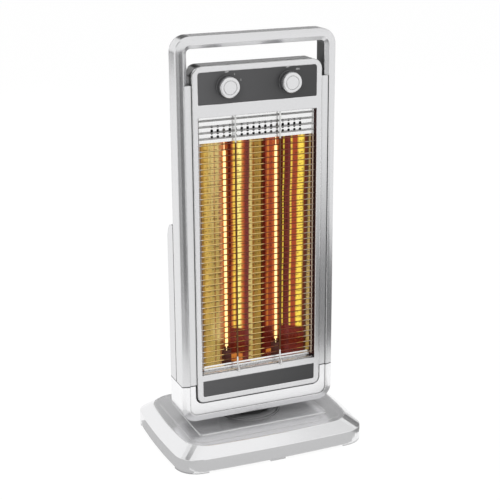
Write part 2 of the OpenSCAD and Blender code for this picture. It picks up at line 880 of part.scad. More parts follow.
module hump(front, low, inset) {
    top = hump_z - inset;
    levels = [[low, top - 20 - low, 0], [top - 9.5, 0.5, 4], [top - 3.5, 0.5, 9], [top - 0.5, 0.5, 18]];
    hull() for (level = levels) translate([0, 0, level[0]]) linear_extrude(level[1])
        polygon(deep_points(front, inset, level[2], 14));
}

// Lamp chamber

// Dark side walls of the window, each with a flange behind the wires' ends
module side_baffles() {
    low = window_bottom + sill_rise;
    flange_off = rod_off - rod_d / 2 - seam - sheet;
    color(dark) both_sides() {
        translate([baffle_x, -bezel_back + seam, low])
            cube([baffle_t, bezel_back - seam - vertex_off - 12, control_floor_z - low - 5]);
        facing(flange_off, flange_off + sheet)
            square_between(baffle_x - flange_w, low + 1, baffle_x + eps, vent_z - seam);
    }
}

// One reflector: a parabolic trough about the lamp
function trough(x) = vertex_off + reflector_rise * pow((x - lamp_x) / (reflector_edge - lamp_x), 2);

module reflector() {
    x0 = 0.2;
    x1 = reflector_edge;
    steps = 24;
    inner = [for (i = [0:steps]) let (x = x0 + (x1 - x0) * i / steps) [x, -trough(x)]];
    outer = [for (i = [steps:-1:0]) let (x = x0 + (x1 - x0) * i / steps) [x, -trough(x) + sheet * 1.4]];
    low = shelf_z + sheet + seam;
    translate([0, 0, low]) linear_extrude(vent_z - seam - low) polygon(concat(inner, outer));
}

module reflector_left() {
    color(gold) mirror([1, 0, 0]) reflector();
}

module reflector_right() {
    color(gold) reflector();
}

// Places a child on the left or right lamp's axis
module at_lamp(side) {
    translate([side * lamp_x, -lamp_off, 0]) children();
}

module lamp_tube(side) {
    z0 = cap_top_z - socket_d;
    color([0.9, 0.93, 0.95, 0.4]) at_lamp(side) translate([0, 0, z0]) difference() {
        cylinder(d = tube_d, h = vent_z + 6 - z0);
        translate([0, 0, -1]) cylinder(d = tube_d - 2 * tube_wall, h = 500);
    }
}

module lamp_tube_left() {
    lamp_tube(-1);
}

module lamp_tube_right() {
    lamp_tube(1);
}

// Carbon strip with its thin leads to the end caps
module filament(side) {
    lead_low = cap_top_z - socket_d - 6;
    lead_top = vent_z + 12;
    color([1, 0.7, 0.3]) at_lamp(side) {
        translate([-filament_w / 2, -0.5, filament_low_z])
            cube([filament_w, 1, filament_top_z - filament_low_z]);
        translate([0, 0, lead_low]) cylinder(r = 0.6, h = filament_low_z - lead_low + 2);
        translate([0, 0, filament_top_z - 2]) cylinder(r = 0.6, h = lead_top - filament_top_z + 2);
    }
}

module filament_left() {
    filament(-1);
}

module filament_right() {
    filament(1);
}

// Ceramic caps at both ends of one lamp, socketed over the tube
module lamp_caps(side) {
    color(ceramic) at_lamp(side) {
        difference() {
            translate([0, 0, shelf_z - 8]) cylinder(d = cap_d, h = cap_top_z - shelf_z + 8);
            translate([0, 0, cap_top_z - socket_d - seam]) cylinder(d = tube_d + 0.3, h = 20);
            translate([0, 0, shelf_z - 9]) cylinder(r = 0.9, h = 60);
        }
        difference() {
            translate([0, 0, vent_z - 4]) cylinder(d = cap_d, h = cap_h);
            translate([0, 0, vent_z - 6]) cylinder(d = tube_d + 0.3, h = 12 + seam);
            translate([0, 0, vent_z - 6]) cylinder(r = 0.9, h = 60);
        }
    }
}

module lamp_caps_left() {
    lamp_caps(-1);
}

module lamp_caps_right() {
    lamp_caps(1);
}

// Spring clips that hold the caps behind the shelf and the vent plate's return
module lamp_clips() {
    color(steel)
    for (s = [-1, 1], z = [shelf_z - 6, vent_z + 8]) translate([s * lamp_x, -lamp_off, z])
        difference() {
            union() {
                cylinder(d = cap_d + 0.2 + 2 * sheet, h = 4);
                translate([-1.5, 0, 0]) cube([3, -vertex_off + lamp_off + 1.6, 4]);
            }
            translate([0, 0, -1]) cylinder(d = cap_d + 0.2, h = 6);
            translate([-4, -20, -1]) cube([8, 20, 6]);
        }
}

// Perforated plate at the top of the window with a return that the lamps pass through
module vent_plate() {
    row_z = vent_z + 16.4;
    color([0.9, 0.9, 0.9])
    difference() {
        union() {
            facing(vent_off, vent_off + sheet)
                square_between(-baffle_x + seam * 2, vent_z, baffle_x - seam * 2, control_floor_z - 4);
            translate([-baffle_x + 2 * seam, -vent_off - eps, vent_z])
                cube([2 * baffle_x - 4 * seam, vent_off - vertex_off + 1, sheet]);
        }
        for (i = [0:vent_columns - 1])
            translate([(i - (vent_columns - 1) / 2) * vent_pitch, 0, row_z]) vent_column();
        for (s = [-1, 1]) translate([s * lamp_x, -lamp_off, 0]) cylinder(d = cap_d + 0.8, h = 700);
    }
}

// A round hole, a slot and a round hole, one above the other
module vent_column() {
    hole_r = 2;
    half_slot = 2;
    dot_z = 7.6;
    for (z = [-dot_z, -half_slot, half_slot, dot_z])
        translate([0, 0, z]) rotate([90, 0, 0]) cylinder(r = hole_r, h = 90);
    translate([-hole_r, -90, -half_slot]) cube([2 * hole_r, 90, 2 * half_slot]);
}

// Bright lip and shelf at the bottom of the window
module lip_plate() {
    lip_off = bezel_off - sill_d - seam - sheet;
    color([0.9, 0.9, 0.9])
    difference() {
        union() {
            facing(lip_off, lip_off + sheet)
                square_between(-baffle_x + 2 * seam, shelf_z, baffle_x - 2 * seam, lip_top_z);
            translate([-baffle_x + 2 * seam, -lip_off - eps, shelf_z])
                cube([2 * baffle_x - 4 * seam, lip_off - vertex_off + 1, sheet]);
        }
        for (s = [-1, 1]) translate([s * lamp_x, -lamp_off, 0]) cylinder(d = cap_d + 0.8, h = 700);
    }
}

// Grille

module grille_wires() {
    color(steel)
    for (i = [0:wire_count - 1]) translate([0, -wire_off, wire_low_z + wire_pitch * i]) {
        translate([-wire_half + wire_bend, 0, 0]) rotate([0, 90, 0])
            cylinder(d = wire_d, h = 2 * (wire_half - wire_bend), $fn = 16);
        both_sides() translate([wire_half - wire_bend, wire_bend, 0]) rotate([0, 0, -90])
            rotate_extrude(angle = 90, $fn = 32) translate([wire_bend, 0]) circle(d = wire_d, $fn = 16);
    }
}

// Thick upright wires in front, whose lower ends hook out over the sill
module grille_stays() {
    slant = (hook_reach - 2 * hook_r * (1 - cos(hook_turn))) / sin(hook_turn);
    knee_z = window_bottom + sill_rise + 8;
    low_z = knee_z - 2 * hook_r * sin(hook_turn) - slant * cos(hook_turn);
    color(steel)
    for (s = [-1, 1]) translate([s * stay_x, -stay_off, 0]) {
        translate([0, 0, knee_z]) cylinder(d = stay_d, h = window_top - seam - knee_z, $fn = 24);
        translate([0, -hook_r, knee_z]) stay_bend(-hook_turn);
        translate([0, -hook_r * (1 - cos(hook_turn)), knee_z - hook_r * sin(hook_turn)])
            rotate([-hook_turn, 0, 0]) translate([0, 0, -slant]) cylinder(d = stay_d, h = slant, $fn = 24);
        translate([0, hook_r - hook_reach, low_z]) stay_bend(180 - hook_turn);
        translate([0, -hook_reach, low_z - hook_end]) cylinder(d = stay_d, h = hook_end, $fn = 24);
    }
}

// Part of a ring that bends a stay, a little thinner so that it seats in the straight parts
module stay_bend(start) {
    rotate([90, 0, 90]) rotate([0, 0, start - 2]) rotate_extrude(angle = hook_turn + 4, $fn = 48)
        translate([hook_r, 0]) circle(d = stay_d - 0.12, $fn = 24);
}

module grille_rods() {
    low = window_bottom + sill_rise + 4;
    color(steel)
    both_sides() translate([rod_x, -rod_off, low])
        cylinder(d = rod_d, h = window_top - 2 - low, $fn = 20);
}

// Electrics

module rotary_switch(side) {
    back = bezel_back - seam;
    color(black) translate([side * knob_x, 0, knob_z]) difference() {
        union() {
            translate([-14, -back, -14]) cube([28, 15, 28]);
            rotate([90, 0, 0]) translate([0, 0, back - 1]) cylinder(r = 4.1, h = bezel_off - back + 0.6);
            for (z = [-9, 0, 9]) translate([-1, -back + 15 - eps, z - 3]) cube([2, 7, 6]);
        }
        rotate([90, 0, 0]) translate([0, 0, back - 11]) cylinder(d = knob_shaft_d + 2 * running, h = 40);
    }
}

module power_switch() {
    rotary_switch(-1);
}

module swing_switch() {
    rotary_switch(1);
}

module knob_shaft(side) {
    start = bezel_back - seam - 10.5;
    color(steel) translate([side * knob_x, 0, knob_z]) rotate([90, 0, 0]) translate([0, 0, start])
        cylinder(d = knob_shaft_d, h = bezel_off + 9 - start);
}

module power_shaft() {
    knob_shaft(-1);
}

module swing_shaft() {
    knob_shaft(1);
}

// Fluted knob with a grooved face, bored for its shaft
module knob(side) {
    base = bezel_off + 0.4;
    top = bezel_off + knob_h;
    r = knob_d / 2;
    foot_r = r + knob_flare / 2;
    lean = atan((foot_r - r) / (top - base - 3.6));
    color(silver) translate([side * knob_x, 0, knob_z]) rotate([90, 0, 0]) difference() {
        rotate_extrude($fn = 90) polygon([[0, base], [foot_r + 0.9, base], [foot_r + 0.9, base + 1.4],
            [foot_r, base + 2], [r, top - 1.6], [r - 0.5, top - 0.5], [r - 1.5, top], [r * 0.7, top],
            [r * 0.66, top - 0.9], [r * 0.62, top], [0, top]]);
        for (i = [0:flute_count - 1]) rotate([0, 0, 360 * i / flute_count])
            translate([foot_r + 0.45, 0, base + 2.2]) rotate([0, -lean, 0])
                cylinder(r = 1, h = top - base - 3.8, $fn = 16);
        translate([0, 0, base - 1]) cylinder(d = knob_shaft_d + 0.02, h = bezel_off + 9.3 - base + 1);
    }
}

module power_knob() {
    knob(-1);
}

module swing_knob() {
    knob(1);
}

// Cut-out against the chamber's back, behind the line where the reflectors meet
module thermal_cutout() {
    back_y = -chamber_back - 2.2 - seam;
    color(black) translate([0, 0, (window_bottom + window_top) / 2 - 30]) {
        translate([-8, back_y - 1, -8]) cube([16, 1, 16]);
        translate([0, back_y - 1 + eps, 0]) rotate([90, 0, 0]) cylinder(r = 6, h = 4);
    }
}

module terminal_block() {
    color([0.92, 0.9, 0.85])
    for (i = [0:3]) translate([64 + 9 * i, -20, cover_z + wall]) difference() {
        cube([8.8, 16, 13]);
        translate([4.4, 4, 4]) cylinder(r = 1.8, h = 20);
        translate([4.4, 12, 4]) cylinder(r = 1.8, h = 20);
    }
    color([0.92, 0.9, 0.85]) translate([64, -14, cover_z + wall]) cube([35.8, 4, 3]);
}

// Slow motor over the pivot tube, on its bracket
motor_z = cover_z + wall + 3 + 4;

module motor_bracket() {
    color(steel) difference() {
        union() {
            translate([-33, -motor_off - 9, motor_z - 1.2]) cube([66, 18, 1.2]);
            both_sides() translate([32, -motor_off - 9, cover_z + wall])
                cube([1.2, 18, motor_z - cover_z - wall]);
        }
        translate([0, -motor_off, motor_z - 5]) cylinder(r = 6, h = 10);
    }
}

module swing_motor() {
    color([0.7, 0.71, 0.72]) translate([0, -motor_off, motor_z]) difference() {
        union() {
            cylinder(r = 23, h = 16);
            translate([-30, -4, 0]) cube([60, 8, 1]);
            translate([0, 0, -1.6]) cylinder(r = 5, h = 2);
        }
        translate([0, 0, -3]) cylinder(r = 2.5 + running, h = 15);
    }
}

crank_z = floor_top + 3 + 10 + 2;

module motor_shaft() {
    color(steel) translate([0, -motor_off, crank_z + 4]) cylinder(r = 2.5, h = motor_z + 11 - crank_z - 4);
}

// Crank arm in line with the guide at rest, with its pin down between the rails
module swing_crank() {
    color([0.9, 0.9, 0.88]) difference() {
        union() {
            translate([0, -motor_off, crank_z]) cylinder(r = 5, h = 8);
            translate([-3.5, -motor_off - crank_r, crank_z]) cube([7, crank_r, 4]);
            translate([0, -motor_off - crank_r, crank_z]) cylinder(r = 3.5, h = 4);
            translate([0, -motor_off - crank_r, floor_top + 4])
                cylinder(d = crank_pin_d, h = crank_z - floor_top - 3);
        }
        translate([0, -motor_off, crank_z + 4]) cylinder(r = 2.51, h = 10);
    }
}

module column_screws() {
    color(black)
    both_sides() for (z = [hump_z + 30, hump_z + 105, control_floor_z + 9])
        translate([screw_x, -rear_off + 0.05, z]) rotate([-90, 0, 0]) cylinder(r = 3, h = 1.6);
}

base_shell();
base_top_plate();
base_bottom_plate();
ballast_plate();
rubber_feet();
turntable_boss();
swing_washer();
swing_guide();
cord_inlet();
tip_switch();
base_screws();
tip_plunger();
pivot_tube();
pivot_retainer();
bottom_cover();
front_frame();
loop_liner();
left_strip();
right_strip();
front_bezel();
control_plate();
badge_plate();
module_shell();
rear_housing();
rear_cover();
side_baffles();
reflector_left();
reflector_right();
lamp_tube_left();
lamp_tube_right();
filament_left();
filament_right();
lamp_caps_left();
lamp_caps_right();
lamp_clips();
vent_plate();
lip_plate();
grille_wires();
grille_stays();
grille_rods();
power_switch();
swing_switch();
thermal_cutout();
terminal_block();
swing_motor();
motor_bracket();
column_screws();
swing_crank();
motor_shaft();
power_knob();
power_shaft();
swing_knob();
swing_shaft();
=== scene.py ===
"""Looks of a tall carbon heater: two glowing lamps behind a wire grille on a swinging base.

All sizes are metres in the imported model's frame: +Z is up, the front faces -Y and the floor is z = 0.
"""

import logging
import math
from dataclasses import dataclass
from enum import Enum
from typing import Any, Callable, Optional

import bmesh
import bpy
from mathutils import Matrix, Vector


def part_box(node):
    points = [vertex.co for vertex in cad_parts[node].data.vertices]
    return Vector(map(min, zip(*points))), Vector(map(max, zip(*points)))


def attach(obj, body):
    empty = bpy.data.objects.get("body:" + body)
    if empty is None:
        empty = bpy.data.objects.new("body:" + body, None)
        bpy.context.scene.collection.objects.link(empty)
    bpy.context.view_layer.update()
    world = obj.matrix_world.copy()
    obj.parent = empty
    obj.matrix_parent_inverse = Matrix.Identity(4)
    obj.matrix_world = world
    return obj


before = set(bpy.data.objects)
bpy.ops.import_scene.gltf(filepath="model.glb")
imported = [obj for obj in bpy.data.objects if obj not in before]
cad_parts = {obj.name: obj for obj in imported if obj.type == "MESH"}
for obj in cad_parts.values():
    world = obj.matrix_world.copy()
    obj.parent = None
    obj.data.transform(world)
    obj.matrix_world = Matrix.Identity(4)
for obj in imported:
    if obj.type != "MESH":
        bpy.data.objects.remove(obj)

LOG = logging.getLogger("carbon_heater")
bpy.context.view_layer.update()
MM = 0.001

Pair = tuple[float, float]
Triple = tuple[float, float, float]
Colour = Triple
Place = Triple

UNLIT: Colour = (0.0, 0.0, 0.0)
WHITE: Colour = (1.0, 1.0, 1.0)
# Near black for painted shade in seams and hollows, and for the painted shadow line under the cover's rim.
PAINTED_SEAM_SHADE: Colour = (0.02, 0.02, 0.02)
CARD_LIFT = 0.001


def shaded(colour: Colour, factor: float) -> Colour:
    """A colour made darker or paler by a factor."""
    return tuple(part * factor for part in colour)


def grey(level: float) -> tuple[float, float, float, float]:
    """An opaque grey."""
    return (level, level, level, 1.0)


@dataclass(frozen=True)
class Pattern:
    """Smooth noise: its blobs in a metre, factors on them along x, y and z, and its finer layers."""

    scale: float
    stretch: Triple = (1.0, 1.0, 1.0)
    detail: float = 2.0


class Signal:
    """A number that varies over a surface, with Python's arithmetic adding Math nodes."""

    def __init__(self, graph: "Graph", socket: bpy.types.NodeSocket) -> None:
        """Wraps an output socket of a graph's node."""
        self.graph = graph
        self.socket = socket

    def _math(self, operation: str, first: Any, second: Any = None, clamp: bool = False) -> "Signal":
        """Adds one Math node.

        Args:
            operation: the node's operation.
            first: its first value, a number or a Signal.
            second: its second value, where the operation has one.
            clamp: whether the result is held between 0 and 1.

        Returns:
            The node's result.
        """
        inputs = {0: first} if second is None else {0: first, 1: second}
        node = self.graph.node("ShaderNodeMath", {"operation": operation, "use_clamp": clamp}, inputs)
        return Signal(self.graph, node.outputs[0])

    def __add__(self, other: Any) -> "Signal":
        """self + other."""
        return self._math("ADD", self, other)

    def __radd__(self, other: Any) -> "Signal":
        """other + self."""
        return self._math("ADD", other, self)

    def __sub__(self, other: Any) -> "Signal":
        """self - other."""
        return self._math("SUBTRACT", self, other)

    def __rsub__(self, other: Any) -> "Signal":
        """other - self."""
        return self._math("SUBTRACT", other, self)

    def __mul__(self, other: Any) -> "Signal":
        """self * other."""
        return self._math("MULTIPLY", self, other)

    def __rmul__(self, other: Any) -> "Signal":
        """other * self."""
        return self._math("MULTIPLY", other, self)

    def __neg__(self) -> "Signal":
        """The value with its sign turned."""
        return self._math("SUBTRACT", 0.0, self)

    def __abs__(self) -> "Signal":
        """The size of the value without its sign."""
        return self._math("ABSOLUTE", self)

    def fraction(self) -> "Signal":
        """The part of the value after the point, so that a pattern repeats."""
        return self._math("FRACT", self)

    def clamped(self) -> "Signal":
        """The value held between 0 and 1."""
        return self._math("ADD", self, 0.0, clamp=True)

    def centred(self) -> "Signal":
        """The value less a half, so that noise swings about 0."""
        return self - 0.5

    def rising(self, start: float, height: float) -> "Signal":
        """start where the value is 0, and start + height where it is 1."""
        return start + self * height

    def along(self, reach: float) -> "Signal":
        """0 to 1 as the value goes from -reach to reach."""
        return (self + reach) * (0.5 / reach)


class Graph:
    """A node tree that is being filled.

    mix_colours and mix_result are the numbers of the Mix node's colour inputs and colour output.
    """

    bevel_samples: int = 4
    hollow_samples: int = 6
    edge_turn: Pair = (0.01, 0.10)
    mix_colours: tuple[int, int] = (6, 7)
    mix_result: int = 2

    def __init__(self, tree: bpy.types.NodeTree) -> None:
        """Empties the tree and keeps it."""
        self.tree = tree
        self.tree.nodes.clear()
        self._place: Optional[bpy.types.NodeSocket] = None

    def feed(self, socket: bpy.types.NodeSocket, value: Any) -> None:
        """Gives an input socket a link or a constant.

        Args:
            socket: the input.
            value: a Signal, an output socket, a number or a colour.
        """
        if isinstance(value, Signal):
            self.tree.links.new(value.socket, socket)
        elif isinstance(value, bpy.types.NodeSocket):
            self.tree.links.new(value, socket)
        else:
            socket.default_value = value

    def node(self, kind: str, settings: Optional[dict] = None,
             inputs: Optional[dict] = None) -> bpy.types.Node:
        """Adds one node of any kind.

        Args:
            kind: the node's type.
            settings: its attributes, set first; "stops" holds a ramp's (place, colour) pairs.
            inputs: socket name or number to a number, a colour, a Signal or a socket.

        Returns:
            The new node.
        """
        made = self.tree.nodes.new(kind)
        for name, value in (settings or {}).items():
            if name == "stops":
                self._set_stops(made.color_ramp, value)
            else:
                setattr(made, name, value)
        for name, value in (inputs or {}).items():
            self.feed(made.inputs[name], value)
        return made

    @staticmethod
    def _set_stops(ramp: bpy.types.ColorRamp, stops: list[tuple[float, Colour]]) -> None:
        """Gives a ramp its stops.

        Args:
            ramp: the node's ramp, which has two stops to begin with.
            stops: (place, colour) pairs, at least two.
        """
        while len(ramp.elements) < len(stops):
            ramp.elements.new(0.5)
        for element, (place, colour) in zip(ramp.elements, stops):
            element.position = place
            element.color = (*colour, 1.0)

    def output(self, shader: bpy.types.NodeSocket, kind: str = "ShaderNodeOutputMaterial") -> None:
        """Joins a shader to the tree's output."""
        self.node(kind, inputs={"Surface": shader})

    def place(self) -> bpy.types.NodeSocket:
        """The point on the surface in the frame's metres, at rest.

        Returns:
            The point's socket, from one node for the whole tree.
        """
        if self._place is None:
            self._place = self.node("ShaderNodeTexCoord").outputs["Object"]
        return self._place

    def _split(self, vector: bpy.types.NodeSocket) -> tuple[Signal, Signal, Signal]:
        """The x, y and z of a vector."""
        parts = self.node("ShaderNodeSeparateXYZ", inputs={0: vector}).outputs
        return tuple(Signal(self, part) for part in parts[:3])

    def axes(self) -> tuple[Signal, Signal, Signal]:
        """The x, y and z of the point on the surface."""
        return self._split(self.place())

    def facing(self) -> tuple[Signal, Signal, Signal]:
        """The x, y and z of the surface's normal."""
        return self._split(self.node("ShaderNodeNewGeometry").outputs["Normal"])

    def facing_down(self, start: float, end: float) -> Signal:
        """1 where the surface's normal points down past end, 0 before start; both as -z of the normal."""
        return self.step(-self.facing()[2], start, end)

    def noise(self, pattern: Pattern) -> Signal:
        """Smooth noise.

        Args:
            pattern: its size and shape.

        Returns:
            The noise, between 0 and 1.
        """
        spread = self.node("ShaderNodeMapping", inputs={"Vector": self.place(), "Scale": pattern.stretch})
        made = self.node("ShaderNodeTexNoise", inputs={
            "Vector": spread.outputs[0], "Scale": pattern.scale, "Detail": pattern.detail})
        return Signal(self, made.outputs["Fac"])

    def ramp(self, value: Signal, stops: list[tuple[float, Colour]]) -> bpy.types.NodeSocket:
        """A colour picked by a value between 0 and 1."""
        return self.node("ShaderNodeValToRGB", {"stops": stops}, {0: value}).outputs[0]

    def step(self, value: Signal, low: float, high: float) -> Signal:
        """A smooth step that is 0 below low and 1 above high."""
        made = self.node("ShaderNodeMapRange", {"interpolation_type": "SMOOTHSTEP"},
                         {"Value": value, "From Min": low, "From Max": high})
        return Signal(self, made.outputs[0])

    def between(self, value: Signal, low: float, high: float, soft: float) -> Signal:
        """1 between two values and 0 outside.

        Args:
            value: what is compared.
            low: where it begins to rise to 1.
            high: where it begins to fall back.
            soft: how far each change takes.

        Returns:
            The mask.
        """
        above_low = self.step(value, low, low + soft)
        above_high = self.step(value, high, high + soft)
        return above_low * (1.0 - above_high)

    def blend(self, factor: Signal, first: Any, second: Any) -> bpy.types.NodeSocket:
        """A colour between two others.

        Args:
            factor: how far it is from the first to the second, 0 to 1.
            first: a colour or a socket.
            second: a colour or a socket.

        Returns:
            The colour's socket.
        """
        made = self.node("ShaderNodeMix", {"data_type": "RGBA"}, {"Factor": factor})
        for number, value in zip(self.mix_colours, (first, second)):
            linked = isinstance(value, bpy.types.NodeSocket)
            self.feed(made.inputs[number], value if linked else (*value, 1.0))
        return made.outputs[self.mix_result]

    def _rounded(self, radius: float) -> bpy.types.NodeSocket:
        """The normal of the surface with its edges rounded off."""
        return self.node("ShaderNodeBevel", {"samples": self.bevel_samples}, {"Radius": radius}).outputs[0]

    def edges(self, radius: float) -> Signal:
        """Where the surface turns sharply, such as along an edge.

        Args:
            radius: how near the turn has to be.

        Returns:
            1 at the edge and 0 elsewhere.
        """
        rounded = self._rounded(radius)
        plain = self.node("ShaderNodeNewGeometry").outputs["Normal"]
        likeness = self.node("ShaderNodeVectorMath", {"operation": "DOT_PRODUCT"}, {0: rounded, 1: plain})
        return self.step(1.0 - Signal(self, likeness.outputs["Value"]), *self.edge_turn)

    def hollows(self, reach: float) -> Signal:
        """1 deep in a seam or under a ledge within reach, and 0 in the open."""
        made = self.node("ShaderNodeAmbientOcclusion", {"samples": self.hollow_samples}, {"Distance": reach})
        return 1.0 - Signal(self, made.outputs["AO"])

    def bump(self, height: Signal, strength: float, depth: float, edge: float = 0.0) -> bpy.types.NodeSocket:
        """A normal from a height.

        Args:
            height: the height, between 0 and 1.
            strength: how strongly it shows.
            depth: the metres between a height of 0 and 1.
            edge: radius of the softened edges, or 0 for sharp ones.

        Returns:
            The normal's socket.
        """
        inputs = {"Strength": strength, "Distance": depth, "Height": height}
        if edge > 0.0:
            inputs["Normal"] = self._rounded(edge)
        return self.node("ShaderNodeBump", inputs=inputs).outputs[0]

    def emitter(self, level: float, strength: float = 1.0) -> bpy.types.NodeSocket:
        """A grey that gives off its own light."""
        inputs = {"Color": grey(level), "Strength": strength}
        return self.node("ShaderNodeEmission", inputs=inputs).outputs[0]


def new_material(name: str) -> tuple[bpy.types.Material, Graph]:
    """Makes an empty material.

    Args:
        name: its name.

    Returns:
        The material, and its nodes to fill.
    """
    made = bpy.data.materials.new(name)
    made.use_nodes = True
    return made, Graph(made.node_tree)


@dataclass(frozen=True)
class Finish:
    """A surface finish: a Principled shader whose varying sockets a subclass fills.

    The roughness is multiplied by gloss[0] where the pattern that varies it is 0, and by the sum of
    both numbers where it is 1.
    """

    name: str
    colour: Colour = (0.5, 0.5, 0.5)
    roughness: float = 0.4
    metallic: float = 0.0
    edge: float = 0.0
    dull: float = 0.94
    gloss: Pair = (0.9, 0.2)
    cloud: Pattern = Pattern(14.0)
    grain: Pattern = Pattern(900.0, detail=3.0)
    grain_bump: float = 0.02
    grain_height: float = 0.001

    def material(self) -> bpy.types.Material:
        """The finish's material, made once.

        Returns:
            The material. Its name has a prefix, because the frame brings materials of its own.
        """
        label = "look_" + self.name
        known = bpy.data.materials.get(label)
        if known is not None:
            return known
        made, graph = new_material(label)
        shader = graph.node("ShaderNodeBsdfPrincipled", inputs={
            "Base Color": (*self.colour, 1.0), "Roughness": self.roughness, "Metallic": self.metallic})
        graph.output(shader.outputs[0])
        for name, value in self.varying(graph).items():
            graph.feed(shader.inputs[name], value)
        for name, value in self.constants().items():
            if not shader.inputs[name].is_linked:
                shader.inputs[name].default_value = value
        return made

    def varying(self, graph: Graph) -> dict[str, Any]:
        """What changes over the surface: clouds in the colour and a fine moulded grain.

        Args:
            graph: the material's nodes.

        Returns:
            Socket name to what feeds it.
        """
        grain = graph.noise(self.grain)
        cloud = graph.noise(self.cloud)
        return {
            "Base Color": graph.blend(cloud, shaded(self.colour, self.dull), self.colour),
            "Roughness": self.roughness * cloud.rising(*self.gloss),
            "Normal": graph.bump(grain, self.grain_bump, self.grain_height, self.edge),
        }

    def constants(self) -> dict[str, Any]:
        """Sockets with one value all over the surface, unless something feeds them."""
        return {}


@dataclass(frozen=True)
class SilverLacquer(Finish):
    """Silver metallic lacquer: fine flakes under a thin clear coat, a little cloudy."""

    metallic: float = 0.92
    roughness: float = 0.23
    edge: float = 0.0016
    dull: float = 0.95
    gloss: Pair = (0.86, 0.2)
    cloud: Pattern = Pattern(9.0, (1.0, 1.0, 0.4))
    wipe: Pattern = Pattern(160.0, (1.0, 1.0, 0.05))
    wipe_gloss: float = 0.08
    flakes: Pattern = Pattern(4200.0, detail=1.0)
    flake_bump: float = 0.008
    flake_height: float = 0.0004
    coat: float = 0.25
    coat_roughness: float = 0.12
    # shine is how strongly edges get a painted highlight; seam is how dark hollows within seam_reach are
    # painted as shade.
    shine: float = 0.9
    shine_colour: Colour = (0.96, 0.96, 0.96)
    shine_gloss: float = 0.08
    seam: float = 0.92
    seam_reach: float = 0.006
    seam_step: Pair = (0.12, 0.6)

    def varying(self, graph: Graph) -> dict[str, Any]:
        """Flakes in the colour and the normal, clouds in the roughness, a painted highlight along edges and
        painted shade in seams and hollows.

        Args:
            graph: the material's nodes.

        Returns:
            Socket name to what feeds it.
        """
        flakes = graph.noise(self.flakes)
        cloud = graph.noise(self.cloud)
        wipe = graph.noise(self.wipe)
        edge = graph.edges(self.edge)
        skin = graph.blend(flakes, shaded(self.colour, self.dull), self.colour)
        # Painted highlight: the colour turns pale along edges.
        painted_edge_highlight = graph.blend(edge * self.shine, skin, self.shine_colour)
        # Painted shade: the colour turns near black in seams and hollows that ambient occlusion finds.
        seam = graph.step(graph.hollows(self.seam_reach), *self.seam_step) * self.seam
        rough = self.roughness * (cloud.rising(*self.gloss) + wipe * self.wipe_gloss)
        return {
            "Base Color": graph.blend(seam, painted_edge_highlight, PAINTED_SEAM_SHADE),
            "Roughness": rough - edge * self.shine_gloss,
            "Normal": graph.bump(flakes, self.flake_bump, self.flake_height, self.edge),
        }

    def uncoated(self, mask: Signal) -> dict[str, Signal]:
        """The sockets that take the metal and the clear coat away where a mask is 1."""
        return {"Metallic": self.metallic * (1.0 - mask), "Coat Weight": self.coat * (1.0 - mask)}

    def constants(self) -> dict[str, Any]:
        """The clear coat."""
        return {"Coat Weight": self.coat, "Coat Roughness": self.coat_roughness}


@dataclass(frozen=True)
class LinedLacquer(SilverLacquer):
    """Silver lacquer outside with a dark lamp chamber inside."""

    inner_x: float = 0.0985
    inner_y: float = 0.0085
    wall: float = 0.0002
    back_step: Pair = (0.2, 0.4)
    lining: Colour = (0.012, 0.011, 0.011)
    lining_rough: float = 0.4

    def varying(self, graph: Graph) -> dict[str, Any]:
        """The lacquer, with the lining's colour and dullness inside the chamber.

        Args:
            graph: the material's nodes.

        Returns:
            Socket name to what feeds it.
        """
        looks = super().varying(graph)
        x, y, _ = graph.axes()
        behind = graph.step(graph.facing()[1], *self.back_step)
        inside = (graph.step(self.inner_x - abs(x), 0.0, self.wall)
                  * graph.step(self.inner_y - y, 0.0, self.wall) * (1.0 - behind))
        looks["Base Color"] = graph.blend(inside, looks["Base Color"], self.lining)
        looks["Roughness"] = looks["Roughness"] + inside * self.lining_rough
        return looks | self.uncoated(inside)


@dataclass(frozen=True)
class CoverLacquer(SilverLacquer):
    """Silver lacquer with a painted shadow line along the cover's upper rim, where the strips and the frame
    stand on it.
    """

    rim_z: float = 0.1135
    rim: float = 0.0013
    rim_soft: float = 0.7

    def varying(self, graph: Graph) -> dict[str, Any]:
        """The lacquer, with painted shade just under the rim where the strips and the frame stand on it.

        Args:
            graph: the material's nodes.

        Returns:
            Socket name to what feeds it.
        """
        looks = super().varying(graph)
        z = graph.axes()[2]
        # Painted shadow of the gap under the rim.
        joint = graph.step(z, self.rim_z - self.rim, self.rim_z - self.rim * self.rim_soft)
        looks["Base Color"] = graph.blend(joint, looks["Base Color"], PAINTED_SEAM_SHADE)
        return looks | self.uncoated(joint)


@dataclass(frozen=True)
class KnobLacquer(SilverLacquer):
    """A silver cap, with painted shade on the fluted sides behind it."""

    split_y: float = -0.0568
    split_soft: float = 0.0012
    side_shade: Colour = (0.05, 0.05, 0.052)

    def varying(self, graph: Graph) -> dict[str, Any]:
        """Silver in front of the split, and painted shade with no metal on the sides behind it.

        Args:
            graph: the material's nodes.

        Returns:
            Socket name to what feeds it.
        """
        looks = super().varying(graph)
        # Painted shade: the knob's sides behind the split turn near black.
        dark = graph.step(graph.axes()[1], self.split_y, self.split_y + self.split_soft)
        looks["Base Color"] = graph.blend(dark, looks["Base Color"], self.side_shade)
        looks["Metallic"] = self.metallic * (1.0 - dark)
        return looks


